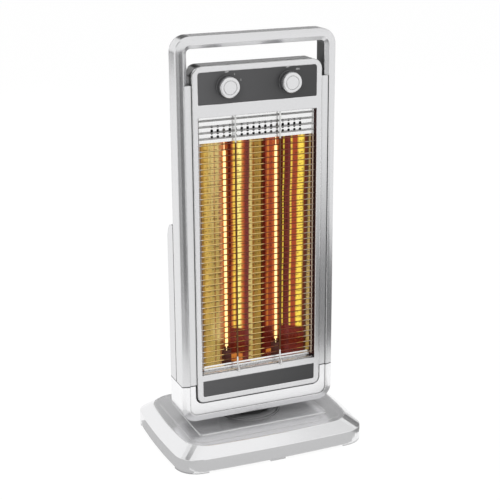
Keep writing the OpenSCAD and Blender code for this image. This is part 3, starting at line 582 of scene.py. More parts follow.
@dataclass(frozen=True)
class SatinPlate(Finish):
    """Dark satin sheet with faint level brushing, and a painted light gradient that makes it paler towards
    its left end and darker towards its right.
    """

    roughness: float = 0.42
    edge: float = 0.0004
    gloss: Pair = (0.85, 0.3)
    cloud: Pattern = Pattern(11.0)
    cloud_shift: float = 0.2
    streaks: Pattern = Pattern(900.0, (0.02, 1.0, 1.0), 3.0)
    streak_bump: float = 0.06
    streak_height: float = 0.0005
    # How far the painted light gradient lifts the left end and darkens the right end.
    fade: float = 0.35
    reach_x: float = 0.092

    def varying(self, graph: Graph) -> dict[str, Any]:
        """Long level streaks in the roughness and the normal, and the painted light gradient in the colour.

        Args:
            graph: the material's nodes.

        Returns:
            Socket name to what feeds it.
        """
        streaks = graph.noise(self.streaks)
        cloud = graph.noise(self.cloud)
        # Painted light and shade: paler to the left and darker to the right.
        across = graph.axes()[0].along(self.reach_x) + cloud.centred() * self.cloud_shift
        left = shaded(self.colour, 1.0 + self.fade)
        right = shaded(self.colour, 1.0 - self.fade)
        return {
            "Base Color": graph.blend(across.clamped(), left, right),
            "Roughness": self.roughness * streaks.rising(*self.gloss),
            "Normal": graph.bump(streaks, self.streak_bump, self.streak_height, self.edge),
        }


@dataclass(frozen=True)
class RolledSheet(Finish):
    """Bright rolled sheet metal with upright roll marks and slight waves."""

    metallic: float = 1.0
    roughness: float = 0.26
    dull: float = 0.86
    gloss: Pair = (0.75, 0.5)
    marks: Pattern = Pattern(700.0, (1.0, 1.0, 0.02), 3.0)
    mark_share: float = 0.02
    wave: Pattern = Pattern(26.0, (1.0, 1.0, 0.35), 1.0)
    wave_height: float = 0.004
    waves: float = 0.12

    def varying(self, graph: Graph) -> dict[str, Any]:
        """Roll marks in the roughness, and slow waves in the normal that break up reflections.

        Args:
            graph: the material's nodes.

        Returns:
            Socket name to what feeds it.
        """
        marks = graph.noise(self.marks)
        height = graph.noise(self.wave) + marks * self.mark_share
        return {
            "Base Color": graph.blend(marks, shaded(self.colour, self.dull), self.colour),
            "Roughness": self.roughness * marks.rising(*self.gloss),
            "Normal": graph.bump(height, self.waves, self.wave_height, self.edge),
        }


@dataclass(frozen=True)
class PunchedSheet(RolledSheet):
    """Bright sheet with painted shade on the walls inside its punched holes."""

    low_z: float = 0.4975
    low_soft: float = 0.0005
    front_step: Pair = (0.3, 0.7)
    hole_shade: Colour = (0.01, 0.01, 0.01)

    def varying(self, graph: Graph) -> dict[str, Any]:
        """The sheet, with painted shade on the walls inside the holes above a height.

        Args:
            graph: the material's nodes.

        Returns:
            Socket name to what feeds it.
        """
        looks = super().varying(graph)
        z = graph.axes()[2]
        front = graph.step(-graph.facing()[1], *self.front_step)
        # Painted shade: the walls of the holes turn near black.
        wall = (1.0 - front) * graph.step(z, self.low_z, self.low_z + self.low_soft)
        looks["Base Color"] = graph.blend(wall, looks["Base Color"], self.hole_shade)
        return looks


class Tone(Enum):
    """Painted colours of a reflector: the sheet's colour with painted reflections of the lamps and painted
    shade in it, and the painted reflected glow that it gives off.
    """

    SHADE = ((0.10, 0.05, 0.03), UNLIT)
    GOLD = ((0.36, 0.31, 0.17), (0.38, 0.28, 0.075))
    OLIVE = ((0.36, 0.29, 0.15), (0.24, 0.165, 0.037))
    BRONZE = ((0.34, 0.20, 0.10), (0.19, 0.065, 0.018))
    WINE = ((0.10, 0.02, 0.016), (0.07, 0.007, 0.004))
    PLUM = ((0.13, 0.03, 0.026), (0.06, 0.012, 0.012))
    RED = ((0.15, 0.03, 0.016), (0.25, 0.040, 0.015))
    AMBER = ((0.25, 0.10, 0.03), (0.50, 0.17, 0.03))
    YELLOW = ((0.20, 0.13, 0.02), (0.88, 0.66, 0.09))
    PALE = ((0.20, 0.15, 0.04), (0.92, 0.80, 0.24))

    @property
    def cool(self) -> "Tone":
        """The tone below the lamps, where no lamp is mirrored."""
        return Tone.WINE if self in (Tone.RED, Tone.AMBER, Tone.YELLOW, Tone.PALE) else self

    @property
    def sheet(self) -> Colour:
        """The sheet's colour: its own gold in GOLD, OLIVE and BRONZE, painted reflection of the lamps in the
        red to pale tones, and painted shade in SHADE.
        """
        return self.value[0]

    @property
    def glow(self) -> Colour:
        """The painted reflection of the lamps' light, given off as emission."""
        return self.value[1]


@dataclass(frozen=True)
class LampReflector(RolledSheet):
    """A bright trough with upright bands of painted reflection: gold where it is cool, red to yellow where
    it mirrors a lamp.

    Each band is a place along x in millimetres and its tone. The bands lean with height, and below
    low_z they are cool. The rungs are painted reflections of the grille's wires, and the ember is a
    painted reflection of a lamp's glowing end. The lamps' light is painted in the colour and the emission.
    """

    roughness: float = 0.15
    waves: float = 0.3
    bands: tuple[tuple[float, Tone], ...] = ()
    low_x: float = -0.096
    high_x: float = 0.001
    low_z: float = 0.180
    soft: float = 0.002
    lean: float = 0.008
    lean_z: float = 0.33
    waver: Pattern = Pattern(9.0, (0.2, 0.2, 1.0), 1.0)
    waver_reach: float = 0.0035
    foot_waver: float = 4.0
    ember_x: float = -0.0205
    ember_half: float = 0.009
    ember_z: float = 0.139
    rung_z: float = 0.1386
    rung_pitch: float = 0.009
    rung_front: float = 0.043
    rung_slope: float = 0.317
    rung_step: Pair = (0.07, 0.18)
    rung_breaks: Pattern = Pattern(260.0, (1.0, 1.0, 0.4))
    break_step: Pair = (0.46, 0.56)
    rung_shade: float = 0.55
    streaks: Pattern = Pattern(500.0, (1.0, 1.0, 0.03), 2.0)
    streak_depth: float = 1.2
    patches: Pattern = Pattern(70.0, (1.0, 1.0, 0.4), 3.0)
    patch_level: float = 0.55
    patch_depth: float = 1.5
    flecks: Pattern = Pattern(380.0, (1.0, 1.0, 0.5), 2.0)
    fleck_level: float = 0.52
    fleck_contrast: float = 3.0
    fleck_glow: float = 0.5
    back_step: Pair = (0.0, 0.05)

    def _rungs(self, graph: Graph, y: Signal, z: Signal) -> Signal:
        """The painted reflections of the grille's wires, as dark lines.

        Args:
            graph: the material's nodes.
            y: the surface's y.
            z: the surface's z.

        Returns:
            1 on a rung, less where it is faint, and 0 between rungs.
        """
        rise = z - self.rung_z + (y + self.rung_front) * self.rung_slope
        turn = (rise * (1.0 / self.rung_pitch)).fraction()
        line = 1.0 - graph.step(abs(turn.centred()), *self.rung_step)
        return line * graph.step(graph.noise(self.rung_breaks), *self.break_step) * self.rung_shade

    def _ember(self, graph: Graph, x: Signal, z: Signal) -> Signal:
        """The painted reflection of a lamp's glowing end.

        Args:
            graph: the material's nodes.
            x: the surface's x.
            z: the surface's z, wavering.

        Returns:
            1 in the ember and 0 elsewhere.
        """
        beside = graph.step(abs(x - self.ember_x), self.ember_half - self.soft, self.ember_half)
        above = graph.step(z, self.ember_z - self.soft, self.ember_z)
        return (1.0 - beside) * (1.0 - above)

    def _banded(self, graph: Graph, across: Signal, lit: Signal,
                colour: Callable[[Tone], Colour]) -> bpy.types.NodeSocket:
        """The painted bands, cool below the lamps.

        Args:
            graph: the material's nodes.
            across: 0 to 1 from the trough's left side to its right.
            lit: 1 beside the lamps and 0 below them.
            colour: which of a tone's two colours to take.

        Returns:
            The colour's socket.
        """
        width = self.high_x - self.low_x
        places = [((at * MM - self.low_x) / width, tone) for at, tone in self.bands]
        beside = graph.ramp(across, [(place, colour(tone)) for place, tone in places])
        below = graph.ramp(across, [(place, colour(tone.cool)) for place, tone in places])
        return graph.blend(lit, below, beside)

    def _dark_patches(self, graph: Graph) -> Signal:
        """Where upright streaks and patches darken the sheet towards the shade tone, 0 to 1."""
        streaks = graph.noise(self.streaks).centred() * self.streak_depth
        patches = (self.patch_level - graph.noise(self.patches)) * self.patch_depth
        return (streaks + patches).clamped()

    def _red_flecks(self, graph: Graph) -> Signal:
        """Where small flecks redden the painted reflected glow, 0 to 1."""
        flecks = (graph.noise(self.flecks) - self.fleck_level) * self.fleck_contrast
        return flecks.clamped() * self.fleck_glow

    def varying(self, graph: Graph) -> dict[str, Any]:
        """Painted reflections and shade in bands across the trough that lean and waver a little, and fade at
        the lamp's foot.

        Args:
            graph: the material's nodes.

        Returns:
            Socket name to what feeds it.
        """
        looks = super().varying(graph)
        x, y, z = graph.axes()
        waver = graph.noise(self.waver).centred() * self.waver_reach
        across = ((x - (z - self.lean_z) * self.lean + waver - self.low_x)
                  * (1.0 / (self.high_x - self.low_x)))
        lit = graph.step(z + waver * self.foot_waver, self.low_z - self.soft, self.low_z + self.soft)
        behind = graph.step(graph.facing()[1], *self.back_step)
        rungs = self._rungs(graph, y, z)

        # Painted reflections and painted shade in the sheet's colour.
        sheet = self._banded(graph, across, lit, lambda tone: tone.sheet)
        sheet = graph.blend(self._dark_patches(graph), sheet, Tone.SHADE.sheet)
        sheet = graph.blend(rungs, sheet, Tone.SHADE.sheet)
        looks["Base Color"] = graph.blend(behind, sheet, Tone.WINE.sheet)

        # Painted reflected lamp light, given off as emission.
        glow = self._banded(graph, across, lit, lambda tone: tone.glow)
        glow = graph.blend(self._red_flecks(graph), glow, Tone.RED.glow)
        glow = graph.blend(rungs, glow, Tone.SHADE.glow)
        glow = graph.blend(self._ember(graph, x, z + waver), glow, Tone.AMBER.glow)
        looks["Emission Color"] = graph.blend(behind, glow, UNLIT)
        return looks

    def constants(self) -> dict[str, Any]:
        """The strength of the painted reflected glow."""
        return {"Emission Strength": 1.0}


class Tint(Enum):
    """Painted colours of the plated wires: painted reflections of the lamps' light and the reflector's
    bands, and painted shade.
    """

    BRIGHT = (0.92, 0.92, 0.91)
    STEEL = (0.60, 0.60, 0.60)
    PALE = (0.66, 0.54, 0.42)
    GOLD = (0.95, 0.72, 0.30)
    AMBER = (0.50, 0.26, 0.07)
    ROSE = (0.30, 0.08, 0.05)
    SHADOWED = (0.16, 0.08, 0.04)


@dataclass(frozen=True)
class GrilleWire(Finish):
    """Plated wire with painted reflections of lamp light and painted shade along it between two heights, and
    painted shade on its underside.

    Each band is a place along x in millimetres and its tint.
    """

    metallic: float = 1.0
    roughness: float = 0.3
    dull: float = 0.85
    gloss: Pair = (0.7, 0.6)
    specks: Pattern = Pattern(1800.0)
    speck_bump: float = 0.05
    speck_height: float = 0.0004
    bands: tuple[tuple[float, Tint], ...] = ((-96.0, Tint.PALE), (96.0, Tint.PALE))
    reach_x: float = 0.096
    low_z: float = 0.118
    high_z: float = 0.490
    soft: float = 0.002
    shade: Colour = (0.05, 0.035, 0.025)
    shade_start: float = -0.14
    shade_width: float = 0.2

    def varying(self, graph: Graph) -> dict[str, Any]:
        """Fine drawing marks, the painted reflections and shade along the wire, and the painted shade on its
        underside.

        Args:
            graph: the material's nodes.

        Returns:
            Socket name to what feeds it.
        """
        x, _, z = graph.axes()
        specks = graph.noise(self.specks)
        bright = graph.blend(specks, shaded(self.colour, self.dull), self.colour)
        stops = [(0.5 + at * MM * 0.5 / self.reach_x, tint.value) for at, tint in self.bands]
        tinted = graph.ramp(x.along(self.reach_x), stops)
        top = graph.blend(graph.between(z, self.low_z, self.high_z, self.soft), bright, tinted)
        under = graph.facing_down(self.shade_start, self.shade_start + self.shade_width)
        return {
            "Base Color": graph.blend(under, top, self.shade),
            "Roughness": self.roughness * specks.rising(*self.gloss),
            "Normal": graph.bump(specks, self.speck_bump, self.speck_height),
        }


@dataclass(frozen=True)
class Glow(Finish):
    """A white-hot carbon strip: brightest along its middle, orange at its rims."""

    strength: float = 1.25
    hot: Colour = (1.0, 0.84, 0.46)
    warm: Colour = (1.0, 0.62, 0.18)
    rim: Colour = (0.75, 0.26, 0.03)
    rim_step: Pair = (0.0014, 0.0026)
    lamp_x: float = 0.0423
    ripple: Pattern = Pattern(420.0, (0.2, 0.2, 1.0), 2.0)
    ripple_heat: float = 1.6

    def varying(self, graph: Graph) -> dict[str, Any]:
        """Ripples and cooler patches in the emission's colour.

        Args:
            graph: the material's nodes.

        Returns:
            Socket name to what feeds it.
        """
        ripple = graph.noise(self.ripple)
        rim = graph.step(abs(abs(graph.axes()[0]) - self.lamp_x), *self.rim_step)
        strip = graph.blend((ripple * self.ripple_heat).clamped(), self.warm, self.hot)
        return {
            "Base Color": graph.blend(ripple, self.warm, self.colour),
            "Emission Color": graph.blend(rim, strip, self.rim),
        }

    def constants(self) -> dict[str, Any]:
        """The strength of the light that it gives off."""
        return {"Emission Strength": self.strength}


@dataclass(frozen=True)
class QuartzTube(Finish):
    """Clear quartz that gives off a painted orange glow between two heights, around the strip inside it."""

    roughness: float = 0.06
    gloss: Pair = (0.8, 0.4)
    cloud: Pattern = Pattern(300.0)
    alpha: float = 0.035
    refraction: float = 1.46
    painted_halo: Colour = (1.0, 0.27, 0.03)
    painted_halo_strength: float = 1.2
    low_z: float = 0.155
    high_z: float = 0.477
    ends: float = 0.02

    def varying(self, graph: Graph) -> dict[str, Any]:
        """The painted glow fades towards the tube's ends.

        Args:
            graph: the material's nodes.

        Returns:
            Socket name to what feeds it.
        """
        lit = graph.between(graph.axes()[2], self.low_z, self.high_z, self.ends)
        return {
            "Emission Color": graph.blend(lit, UNLIT, self.painted_halo),
            "Roughness": self.roughness * graph.noise(self.cloud).rising(*self.gloss),
        }

    def constants(self) -> dict[str, Any]:
        """The clearness, and the strength of the painted glow."""
        return {"Alpha": self.alpha, "IOR": self.refraction, "Emission Strength": self.painted_halo_strength}


@dataclass(frozen=True)
class Ceramic(Finish):
    """Fired ceramic: pale, matt, blotched by heat, and dark red where it stands in the lamps' light."""

    roughness: float = 0.7
    gloss: Pair = (0.85, 0.3)
    stain: Pattern = Pattern(60.0, detail=3.0)
    stain_tint: Colour = (0.75, 0.66, 0.55)
    tooth: Pattern = Pattern(2400.0)
    tooth_bump: float = 0.12
    tooth_height: float = 0.0006
    lit: Colour = (0.10, 0.028, 0.022)
    lit_z: float = 0.30
    lit_soft: float = 0.01

    def varying(self, graph: Graph) -> dict[str, Any]:
        """Heat stains, a fine tooth, and painted dark red lamp light below lit_z.

        Args:
            graph: the material's nodes.

        Returns:
            Socket name to what feeds it.
        """
        stain = graph.noise(self.stain)
        brown = tuple(part * tint for part, tint in zip(self.colour, self.stain_tint))
        low = 1.0 - graph.step(graph.axes()[2], self.lit_z, self.lit_z + self.lit_soft)
        return {
            "Base Color": graph.blend(low, graph.blend(stain * stain, self.colour, brown), self.lit),
            "Roughness": self.roughness * stain.rising(*self.gloss),
            "Normal": graph.bump(graph.noise(self.tooth), self.tooth_bump, self.tooth_height, self.edge),
        }


class Palette(Enum):
    """The finishes of this heater."""

    SILVER = SilverLacquer("silver_lacquer", (0.74, 0.74, 0.75))
    # Painted shade deep in the module's recesses, from hollows within 35 mm.
    MODULE = SilverLacquer("module_lacquer", (0.52, 0.52, 0.53), roughness=0.2, seam_reach=0.035, seam=0.97)
    # A paler copy of the silver lacquer: painted light on the bottom cover.
    LIT_SILVER = CoverLacquer("lit_silver_lacquer", (0.95, 0.95, 0.96), roughness=0.22,
                                 seam_reach=0.009)
    # A paler copy of the silver lacquer: painted light on the base shell.
    BASE_SILVER = SilverLacquer("base_silver_lacquer", (0.87, 0.87, 0.88), roughness=0.18, metallic=0.97)
    # Painted shade in hollows within 20 mm, such as under the column, and a full painted highlight along
    # edges.
    DECK = SilverLacquer("deck_lacquer", (0.66, 0.66, 0.67), roughness=0.24, seam_reach=0.02, seam=0.4,
                         shine=1.0, edge=0.002, metallic=0.72)
    LINED = LinedLacquer("lined_lacquer", (0.74, 0.74, 0.75))
    RING = SilverLacquer("ring_lacquer", (0.42, 0.42, 0.43), roughness=0.45, coat=0.0, shine=0.3,
                         edge=0.0006, metallic=0.6, seam=0.6)
    KNOB = KnobLacquer("knob_silver", (0.76, 0.76, 0.77), roughness=0.24, edge=0.0007, seam=0.25)
    DARK_PLATE = SatinPlate("dark_plate", (0.052, 0.052, 0.054))
    # Its dark red is painted lamp light and shade on the side baffles.
    DARK_WALL = SatinPlate("dark_wall", (0.08, 0.024, 0.02), roughness=0.5, metallic=0.4, fade=0.07)
    DARK_LINER = Finish("dark_liner", (0.014, 0.014, 0.015), roughness=0.5, edge=0.0004)
    # The bands are painted reflections of the lamps and painted shade, given one by one across each trough.
    TROUGH_LEFT = LampReflector("trough_left", bands=(
        (-94.0, Tone.SHADE), (-84.5, Tone.SHADE), (-83.0, Tone.OLIVE), (-76.0, Tone.OLIVE),
        (-72.0, Tone.GOLD), (-55.0, Tone.GOLD), (-52.8, Tone.BRONZE), (-51.0, Tone.GOLD),
        (-47.0, Tone.GOLD), (-43.5, Tone.BRONZE), (-34.0, Tone.RED), (-31.0, Tone.WINE),
        (-27.8, Tone.WINE), (-26.5, Tone.RED), (-24.5, Tone.AMBER), (-21.8, Tone.YELLOW),
        (-19.8, Tone.AMBER), (-17.0, Tone.PALE), (-14.0, Tone.PALE), (-12.0, Tone.AMBER),
        (-9.5, Tone.RED), (-7.5, Tone.PLUM), (-4.2, Tone.PLUM), (-2.8, Tone.GOLD), (0.0, Tone.GOLD)))
    TROUGH_RIGHT = LampReflector("trough_right", low_x=-0.001, high_x=0.096, low_z=0.172,
                                 ember_x=0.0375, ember_half=0.006, ember_z=0.135, bands=(
        (0.0, Tone.GOLD), (2.5, Tone.OLIVE), (4.5, Tone.BRONZE), (7.0, Tone.OLIVE), (21.5, Tone.OLIVE),
        (24.0, Tone.SHADE), (27.5, Tone.WINE), (30.5, Tone.WINE), (33.5, Tone.RED), (36.2, Tone.AMBER),
        (39.0, Tone.RED), (50.0, Tone.RED), (53.5, Tone.WINE), (59.2, Tone.WINE), (60.8, Tone.YELLOW),
        (62.2, Tone.WINE), (69.2, Tone.PLUM), (70.9, Tone.YELLOW), (72.6, Tone.RED), (77.6, Tone.RED),
        (79.6, Tone.YELLOW), (84.2, Tone.YELLOW), (86.6, Tone.WINE), (90.0, Tone.SHADE),
        (91.6, Tone.OLIVE)))
    BRIGHT_SHEET = RolledSheet("bright_sheet", WHITE)
    PUNCHED = PunchedSheet("punched_sheet", WHITE)
    ZINC = RolledSheet("zinc_sheet", (0.55, 0.56, 0.58), roughness=0.38, waves=0.1)
    # The bands of the wires and stays are painted reflections of lamp light and painted shade.
    WIRE = GrilleWire("grille_wire", Tint.STEEL.value, bands=(
        (-94.0, Tint.BRIGHT), (-90.5, Tint.BRIGHT), (-87.5, Tint.GOLD), (-60.0, Tint.GOLD),
        (-57.0, Tint.SHADOWED), (-50.0, Tint.SHADOWED), (-47.0, Tint.ROSE), (-41.0, Tint.ROSE),
        (-38.0, Tint.AMBER), (-25.0, Tint.AMBER), (-22.0, Tint.ROSE), (-14.0, Tint.ROSE),
        (-11.5, Tint.GOLD), (8.0, Tint.GOLD), (11.0, Tint.ROSE), (25.0, Tint.ROSE),
        (27.5, Tint.SHADOWED), (32.5, Tint.SHADOWED), (35.0, Tint.ROSE), (65.0, Tint.ROSE),
        (68.0, Tint.AMBER), (76.0, Tint.AMBER), (79.0, Tint.PALE), (94.0, Tint.PALE)))
    STAY = GrilleWire("stay_wire", Tint.BRIGHT.value, low_z=0.150, shade_start=0.4,
                      bands=((-96.0, Tint.SHADOWED), (96.0, Tint.SHADOWED)))
    ROD = GrilleWire("rod_wire", Tint.BRIGHT.value, shade_start=0.7)
    QUARTZ = QuartzTube("quartz", (0.06, 0.04, 0.03))
    CARBON = Glow("glowing_carbon", (0.2, 0.08, 0.03))
    CERAMIC = Ceramic("ceramic", (0.75, 0.72, 0.66))
    RUBBER = Finish("foot_rubber", (0.025, 0.025, 0.026), roughness=0.8, grain_bump=0.15)
    BLACK = Finish("black_plastic", (0.02, 0.02, 0.021), roughness=0.45, edge=0.0004)
    STEEL_PAINT = Finish("dark_steel_paint", (0.03, 0.03, 0.032), roughness=0.5, metallic=0.2)
    IRON = Finish("cast_iron", (0.08, 0.08, 0.085), roughness=0.65, metallic=0.7, grain_bump=0.3)
    NYLON = Finish("nylon", (0.72, 0.7, 0.66), roughness=0.5, edge=0.0003)
    SLIP_RING = Finish("slip_ring", (0.05, 0.05, 0.052), roughness=0.5)
    PRINT = Finish("dial_print", (0.75, 0.75, 0.75), roughness=0.5)


# Each finish with the nodes that wear it.
Outfit = tuple[tuple[Palette, tuple[str, ...]], ...]


def add_object(name: str, data: Any) -> bpy.types.Object:
    """Puts a new object with this data in the scene."""
    made = bpy.data.objects.new(name, data)
    bpy.context.scene.collection.objects.link(made)
    return made


def add_mesh(name: str, build: bmesh.types.BMesh) -> bpy.types.Object:
    """Turns a filled bmesh into an object in the scene.

    Args:
        name: the name of the object and of its mesh.
        build: the bmesh, which is freed.

    Returns:
        The object.
    """
    mesh = bpy.data.meshes.new(name)
    build.to_mesh(mesh)
    build.free()
    return add_object(name, mesh)


def add_face(name: str, corners: tuple[Place, ...], material: bpy.types.Material) -> bpy.types.Object:
    """Adds one flat face that belongs to the studio.

    Args:
        name: its name.
        corners: its corners in order round the face.
        material: its material.

    Returns:
        The object.
    """
    build = bmesh.new()
    build.faces.new([build.verts.new(corner) for corner in corners])
    made = add_mesh(name, build)
    made.data.materials.append(material)
    return made


@dataclass(frozen=True)
class DialWord:
    """One printed figure or word: its degrees clockwise from the top of the knob, and millimetres out."""

    text: str
    angle: float
    radius: float


@dataclass(frozen=True)
class DialLabels:
    """Printed figures round one knob."""

    name: str
    knob: str
    words: tuple[DialWord, ...]
    size: float = 3.4 * MM
    thickness: float = 0.06 * MM

    def build(self) -> bpy.types.Object:
        """Makes the figures as one thin mesh on the control plate.

        Returns:
            The piece.
        """
        low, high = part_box(self.knob)
        centre = (low + high) / 2
        plate_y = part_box("control_plate")[0].y
        joined = bmesh.new()
        for word in self.words:
            turn, radius = math.radians(word.angle), word.radius * MM
            at = Vector((centre.x + radius * math.sin(turn), plate_y, centre.z + radius * math.cos(turn)))
            mesh = self._letters(word.text)
            mesh.transform(Matrix.Translation(at) @ Matrix.Rotation(math.pi / 2, 4, "X"))
            joined.from_mesh(mesh)
            bpy.data.meshes.remove(mesh)
        made = add_mesh(self.name, joined)
        made.data.materials.append(Palette.PRINT.value.material())
        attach(made, "column")
        LOG.info("%s: %d vertices", self.name, len(made.data.vertices))
        return made

    def _letters(self, text: str) -> bpy.types.Mesh:
        """One word as a thin mesh about its own middle, in the XY plane.

        Args:
            text: the word.

        Returns:
            The mesh.
        """
        curve = bpy.data.curves.new("letters", "FONT")
        curve.body = text
        curve.size = self.size
        curve.align_x = "CENTER"
        curve.align_y = "CENTER"
        curve.extrude = self.thickness
        holder = add_object("letters", curve)
        bpy.context.view_layer.update()
        mesh = bpy.data.meshes.new_from_object(holder.evaluated_get(bpy.context.evaluated_depsgraph_get()))
        bpy.data.objects.remove(holder)
        bpy.data.curves.remove(curve)
        return mesh


@dataclass(frozen=True)
class SubAssembly:
    """CAD nodes that belong together, listed by the finish that they wear."""

    finishes: Outfit = ()

    def build(self) -> set[str]:
        """Dresses the nodes and reports each.

        Returns:
            The names of the dressed nodes.
        """
        dressed = set()
        for finish, nodes in self.finishes:
            for name in nodes:
                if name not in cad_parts:
                    LOG.warning("no node %s in the frame", name)
                    continue
                self._dress(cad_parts[name], finish.value.material())
                dressed.add(name)
                LOG.info("%s: %s", name, finish.value.name)
        return dressed

    @staticmethod
    def _dress(part: bpy.types.Object, material: bpy.types.Material) -> None:
        """Puts one material on all of a part.

        Args:
            part: the node's object.
            material: the material.
        """
        if not part.material_slots:
            part.data.materials.append(material)
        for slot in part.material_slots:
            slot.material = material


@dataclass(frozen=True)
class Base(SubAssembly):
    """The weighted base on the floor, with the ring that the column turns in."""

    finishes: Outfit = (
        (Palette.BASE_SILVER, ("base_shell",)),
        (Palette.DECK, ("base_top_plate",)),
        (Palette.RING, ("turntable_boss",)),
        (Palette.STEEL_PAINT, ("base_bottom_plate",)),
        (Palette.IRON, ("ballast_plate",)),
        (Palette.RUBBER, ("rubber_feet",)),
        (Palette.BLACK, ("cord_inlet", "tip_switch")),
        (Palette.NYLON, ("tip_plunger",)),
        (Palette.SLIP_RING, ("swing_washer",)),
        (Palette.ZINC, ("swing_guide", "base_screws")),
    )


@dataclass(frozen=True)
class Column(SubAssembly):
    """The shells of the swinging column, with the carry loop and the tube that it turns on."""

    finishes: Outfit = (
        (Palette.SILVER, ("front_frame", "left_strip", "right_strip", "front_bezel", "rear_cover")),
        (Palette.MODULE, ("module_shell",)),
        (Palette.LINED, ("rear_housing",)),
        (Palette.LIT_SILVER, ("bottom_cover",)),
        (Palette.DARK_LINER, ("loop_liner",)),
        (Palette.DARK_PLATE, ("badge_plate",)),
        (Palette.BLACK, ("pivot_tube", "thermal_cutout")),
        (Palette.SLIP_RING, ("pivot_retainer",)),
        (Palette.NYLON, ("terminal_block",)),
        (Palette.ZINC, ("column_screws",)),
    )


@dataclass(frozen=True)
class LampChamber(SubAssembly):
    """The two lamps in their reflectors, and the sheets round the window."""

    finishes: Outfit = (
        (Palette.DARK_WALL, ("side_baffles",)),
        (Palette.TROUGH_LEFT, ("reflector_left",)),
        (Palette.TROUGH_RIGHT, ("reflector_right",)),
        (Palette.BRIGHT_SHEET, ("lip_plate",)),
        (Palette.PUNCHED, ("vent_plate",)),
        (Palette.QUARTZ, ("lamp_tube_left", "lamp_tube_right")),
        (Palette.CARBON, ("filament_left", "filament_right")),
        (Palette.CERAMIC, ("lamp_caps_left", "lamp_caps_right")),
        (Palette.ZINC, ("lamp_clips",)),
    )


@dataclass(frozen=True)
class Grille(SubAssembly):
    """The wires in front of the lamps, with their stays and side rods."""

    finishes: Outfit = (
        (Palette.WIRE, ("grille_wires",)),
        (Palette.STAY, ("grille_stays",)),
        (Palette.ROD, ("grille_rods",)),
    )


@dataclass(frozen=True)
class SwingDrive(SubAssembly):
    """The motor and the crank that swing the column."""

    finishes: Outfit = (
        (Palette.ZINC, ("swing_motor", "motor_bracket", "motor_shaft")),
        (Palette.NYLON, ("swing_crank",)),
    )


@dataclass(frozen=True)
class Controls(SubAssembly):
    """The control plate with its two knobs, their switches, and the figures printed round them."""

    finishes: Outfit = (
        (Palette.DARK_PLATE, ("control_plate",)),
        (Palette.KNOB, ("power_knob", "swing_knob")),
        (Palette.ZINC, ("power_shaft", "swing_shaft")),
        (Palette.BLACK, ("power_switch", "swing_switch")),
    )
    dials: tuple[DialLabels, ...] = (
        DialLabels("power_labels", "power_knob", (
            DialWord("OFF", 0.0, 21.0), DialWord("1", 35.5, 20.6), DialWord("2", 69.4, 23.4))),
        DialLabels("swing_labels", "swing_knob", (
            DialWord("OFF", -5.0, 22.0), DialWord("ON", 39.0, 22.5))),
    )

    def build(self) -> set[str]:
        """Dresses the nodes and adds the printed figures.

        Returns:
            The names of the dressed nodes.
        """
        dressed = super().build()
        for dial in self.dials:
            dial.build()
        return dressed


@dataclass(frozen=True)
class Viewpoint:
    """The camera, where the photograph's was. The angles are degrees, and the lens millimetres."""

    target: Place = (0.0049, 0.0, 0.3061)
    azimuth: float = -22.76
    elevation: float = 17.58
    roll: float = -0.36
    distance: float = 1.9847
    lens: float = 91.56
    sensor: float = 36.0
    sight: float = 50.0

    def build(self) -> bpy.types.Object:
        """Makes the camera and sets it as the scene's.

        Returns:
            The camera.
        """
        data = bpy.data.cameras.new("camera")
        data.sensor_width = self.sensor
        data.lens = self.lens
        data.clip_end = self.sight
        made = add_object("camera", data)
        turn, tilt = math.radians(self.azimuth), math.radians(self.elevation)
        ahead = Vector((-math.sin(turn) * math.cos(tilt), math.cos(turn) * math.cos(tilt), -math.sin(tilt)))
        level = Vector((math.cos(turn), math.sin(turn), 0.0))
        up = level.cross(ahead)
        lean = math.radians(self.roll)
        side = level * math.cos(lean) + up * math.sin(lean)
        top = up * math.cos(lean) - level * math.sin(lean)
        turned = Matrix((side, top, -ahead)).transposed().to_4x4()
        made.matrix_world = Matrix.Translation(Vector(self.target) - ahead * self.distance) @ turned
        bpy.context.scene.camera = made
        return made


@dataclass(frozen=True)
class Card:
    """A flat card of one grey that shows only in reflections."""

    name: str
    shade: float
    corners: tuple[Place, ...]

    def build(self) -> bpy.types.Object:
        """Makes the card as one face between its corners.

        Returns:
            The card.
        """
        material, graph = new_material(self.name)
        graph.output(graph.emitter(self.shade))
        made = add_face(self.name, self.corners, material)
        made.visible_camera = False
        made.visible_diffuse = False
        made.visible_transmission = False
        made.visible_shadow = False
        return made


def level_card(name: str, shade: float, corners: tuple[Pair, ...], height: float = CARD_LIFT) -> Card:
    """A card that lies level.

    Args:
        name: its name.
        shade: its grey.
        corners: the x and y of its corners.
        height: its z, just above the floor unless it is given.

    Returns:
        The card.
    """
    return Card(name, shade, tuple((x, y, height) for x, y in corners))


def upright_card(name: str, shade: float, y: float, low: Pair, high: Pair) -> Card:
    """A card that stands parallel to the heater's front.

    Args:
        name: its name.
        shade: its grey.
        y: where it stands.
        low: the x and z of its lowest corner.
        high: the x and z of the corner across from it.

    Returns:
        The card.
    """
    (x0, z0), (x1, z1) = low, high
    return Card(name, shade, ((x0, y, z0), (x1, y, z0), (x1, y, z1), (x0, y, z1)))


@dataclass(frozen=True)
class SoftBox:
    """A square studio lamp that lights the heater but doesn't mirror in it."""

    name: str
    place: Place
    size: float
    power: float
    aim: Place = (0.0, 0.0, 0.3)

    def build(self) -> bpy.types.Object:
        """Makes the lamp, aimed at the middle of the heater.

        Returns:
            The lamp.
        """
        data = bpy.data.lights.new(self.name, "AREA")
        data.size = self.size
        data.energy = self.power
        made = add_object(self.name, data)
        made.location = self.place
        made.rotation_euler = (Vector(self.aim) - Vector(self.place)).to_track_quat("-Z", "Y").to_euler()
        made.visible_glossy = False
        return made


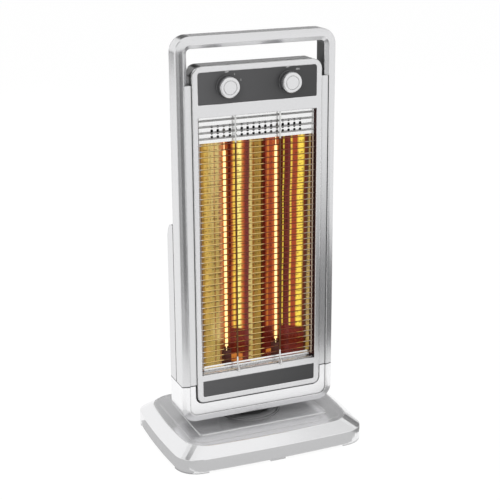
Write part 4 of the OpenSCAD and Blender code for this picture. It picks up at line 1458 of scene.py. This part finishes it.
@dataclass(frozen=True)
class Studio:
    """Floor, background, lamps and the cards that the silver mirrors."""

    sky: float = 0.75
    floor_half: float = 12.0
    floor_shade: float = 0.9
    floor_light: float = 1.03
    floor_glow: float = 0.9
    lamps: tuple[SoftBox, ...] = (
        SoftBox("key_lamp", (-1.6, -2.0, 2.2), 1.6, 34.0),
        SoftBox("fill_lamp", (2.0, -1.4, 1.4), 1.6, 14.0),
        SoftBox("back_lamp", (0.3, 2.2, 1.8), 1.4, 12.0),
    )
    cards: tuple[Card, ...] = (
        upright_card("card_behind_high", 0.05, 1.7, (-0.1, 0.95), (3.0, 1.9)),
        upright_card("card_behind_low", 0.72, 1.7, (-0.1, 0.3), (3.0, 0.95)),
        upright_card("card_front_left", 0.12, -0.6, (-0.36, 0.03), (-0.05, 0.62)),
        level_card("card_floor_behind", 0.3, ((-5.0, 3.5), (-0.9, 3.5), (-0.9, 9.0), (-5.0, 9.0))),
        level_card("card_floor_front", 0.6, ((-0.16, -0.178), (0.17, -0.178), (0.17, -0.122),
                                             (-0.16, -0.122))),
        level_card("card_floor_corner", 0.58, ((-0.27, -0.2), (-0.16, -0.2), (-0.16, -0.12), (-0.14, -0.12),
                                               (-0.14, -0.1), (-0.16, 0.1), (-0.27, 0.1))),
        level_card("card_floor_end", 0.3, ((0.17, -0.178), (0.25, -0.178), (0.25, -0.02), (0.17, -0.05))),
        level_card("card_floor_left", 0.2, ((-0.38, -0.6), (-0.06, -0.6), (-0.06, -0.46), (-0.33, -0.46))),
        level_card("card_floor_right", 0.12, ((0.23, -0.36), (0.44, -0.22), (0.46, 0.45), (1.0, 0.45),
                                              (1.0, -0.95), (0.38, -0.95))),
        level_card("card_far_right", 0.6, ((0.38, -0.95), (1.3, -0.95), (1.3, -1.4), (0.60, -1.4))),
        level_card("card_above_left", 0.12, ((-1.35, -0.6), (-0.45, -0.6), (-0.45, 0.4), (-1.35, 0.4)), 1.2),
        level_card("card_above_right", 0.8, ((1.0, -2.0), (2.5, -2.0), (2.5, 0.6), (1.0, 0.6)), 2.0),
        Card("card_right_wall", 0.2, ((1.5, 0.2, 0.3), (1.5, 1.3, 0.3), (1.5, 1.3, 1.0), (1.5, 0.2, 1.0))),
    )

    def build(self) -> None:
        """Makes the whole studio."""
        bpy.context.scene.view_settings.view_transform = "Standard"
        self._world()
        self._floor()
        for item in (*self.lamps, *self.cards):
            item.build()

    @staticmethod
    def _seen(graph: Graph) -> Signal:
        """The rays that look at the background straight, in a mirror or through glass.

        Args:
            graph: the nodes of the world or the floor.

        Returns:
            1 for those rays, and 0 for the ones that light the heater.
        """
        path = graph.node("ShaderNodeLightPath")
        camera, glossy, through = (Signal(graph, path.outputs[name]) for name in
                                   ("Is Camera Ray", "Is Glossy Ray", "Is Transmission Ray"))
        return (camera + glossy + through).clamped()

    def _world(self) -> None:
        """A white background with a plain light of its own."""
        world = bpy.context.scene.world or bpy.data.worlds.new("world")
        bpy.context.scene.world = world
        world.use_nodes = True
        graph = Graph(world.node_tree)
        colour = graph.blend(self._seen(graph), (self.sky,) * 3, WHITE)
        glow = graph.node("ShaderNodeBackground", inputs={"Color": colour, "Strength": 1.0})
        graph.output(glow.outputs[0], "ShaderNodeOutputWorld")

    def _floor(self) -> None:
        """A pale floor that keeps the heater's shadow."""
        material, graph = new_material("pale_floor")
        matt = graph.node("ShaderNodeBsdfDiffuse", inputs={"Color": grey(self.floor_shade)}).outputs[0]
        glow = graph.emitter(1.0, self.floor_light)
        share = self._seen(graph) * self.floor_glow
        graph.output(graph.node("ShaderNodeMixShader", inputs={0: share, 1: matt, 2: glow}).outputs[0])
        half = self.floor_half
        add_face("floor", ((-half, -half, 0), (half, -half, 0), (half, half, 0), (-half, half, 0)), material)


def main() -> None:
    """Builds the camera, the studio and the heater's sub-assemblies, in that order."""
    logging.basicConfig(level=logging.INFO, format="%(name)s: %(message)s")
    Viewpoint().build()
    Studio().build()
    dressed: set[str] = set()
    for part in (Base(), Column(), LampChamber(), Grille(), SwingDrive(), Controls()):
        dressed |= part.build()
    bare = sorted(set(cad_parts) - dressed)
    if bare:
        LOG.warning("nodes with no finish: %s", bare)


if __name__ == "__main__":
    main()
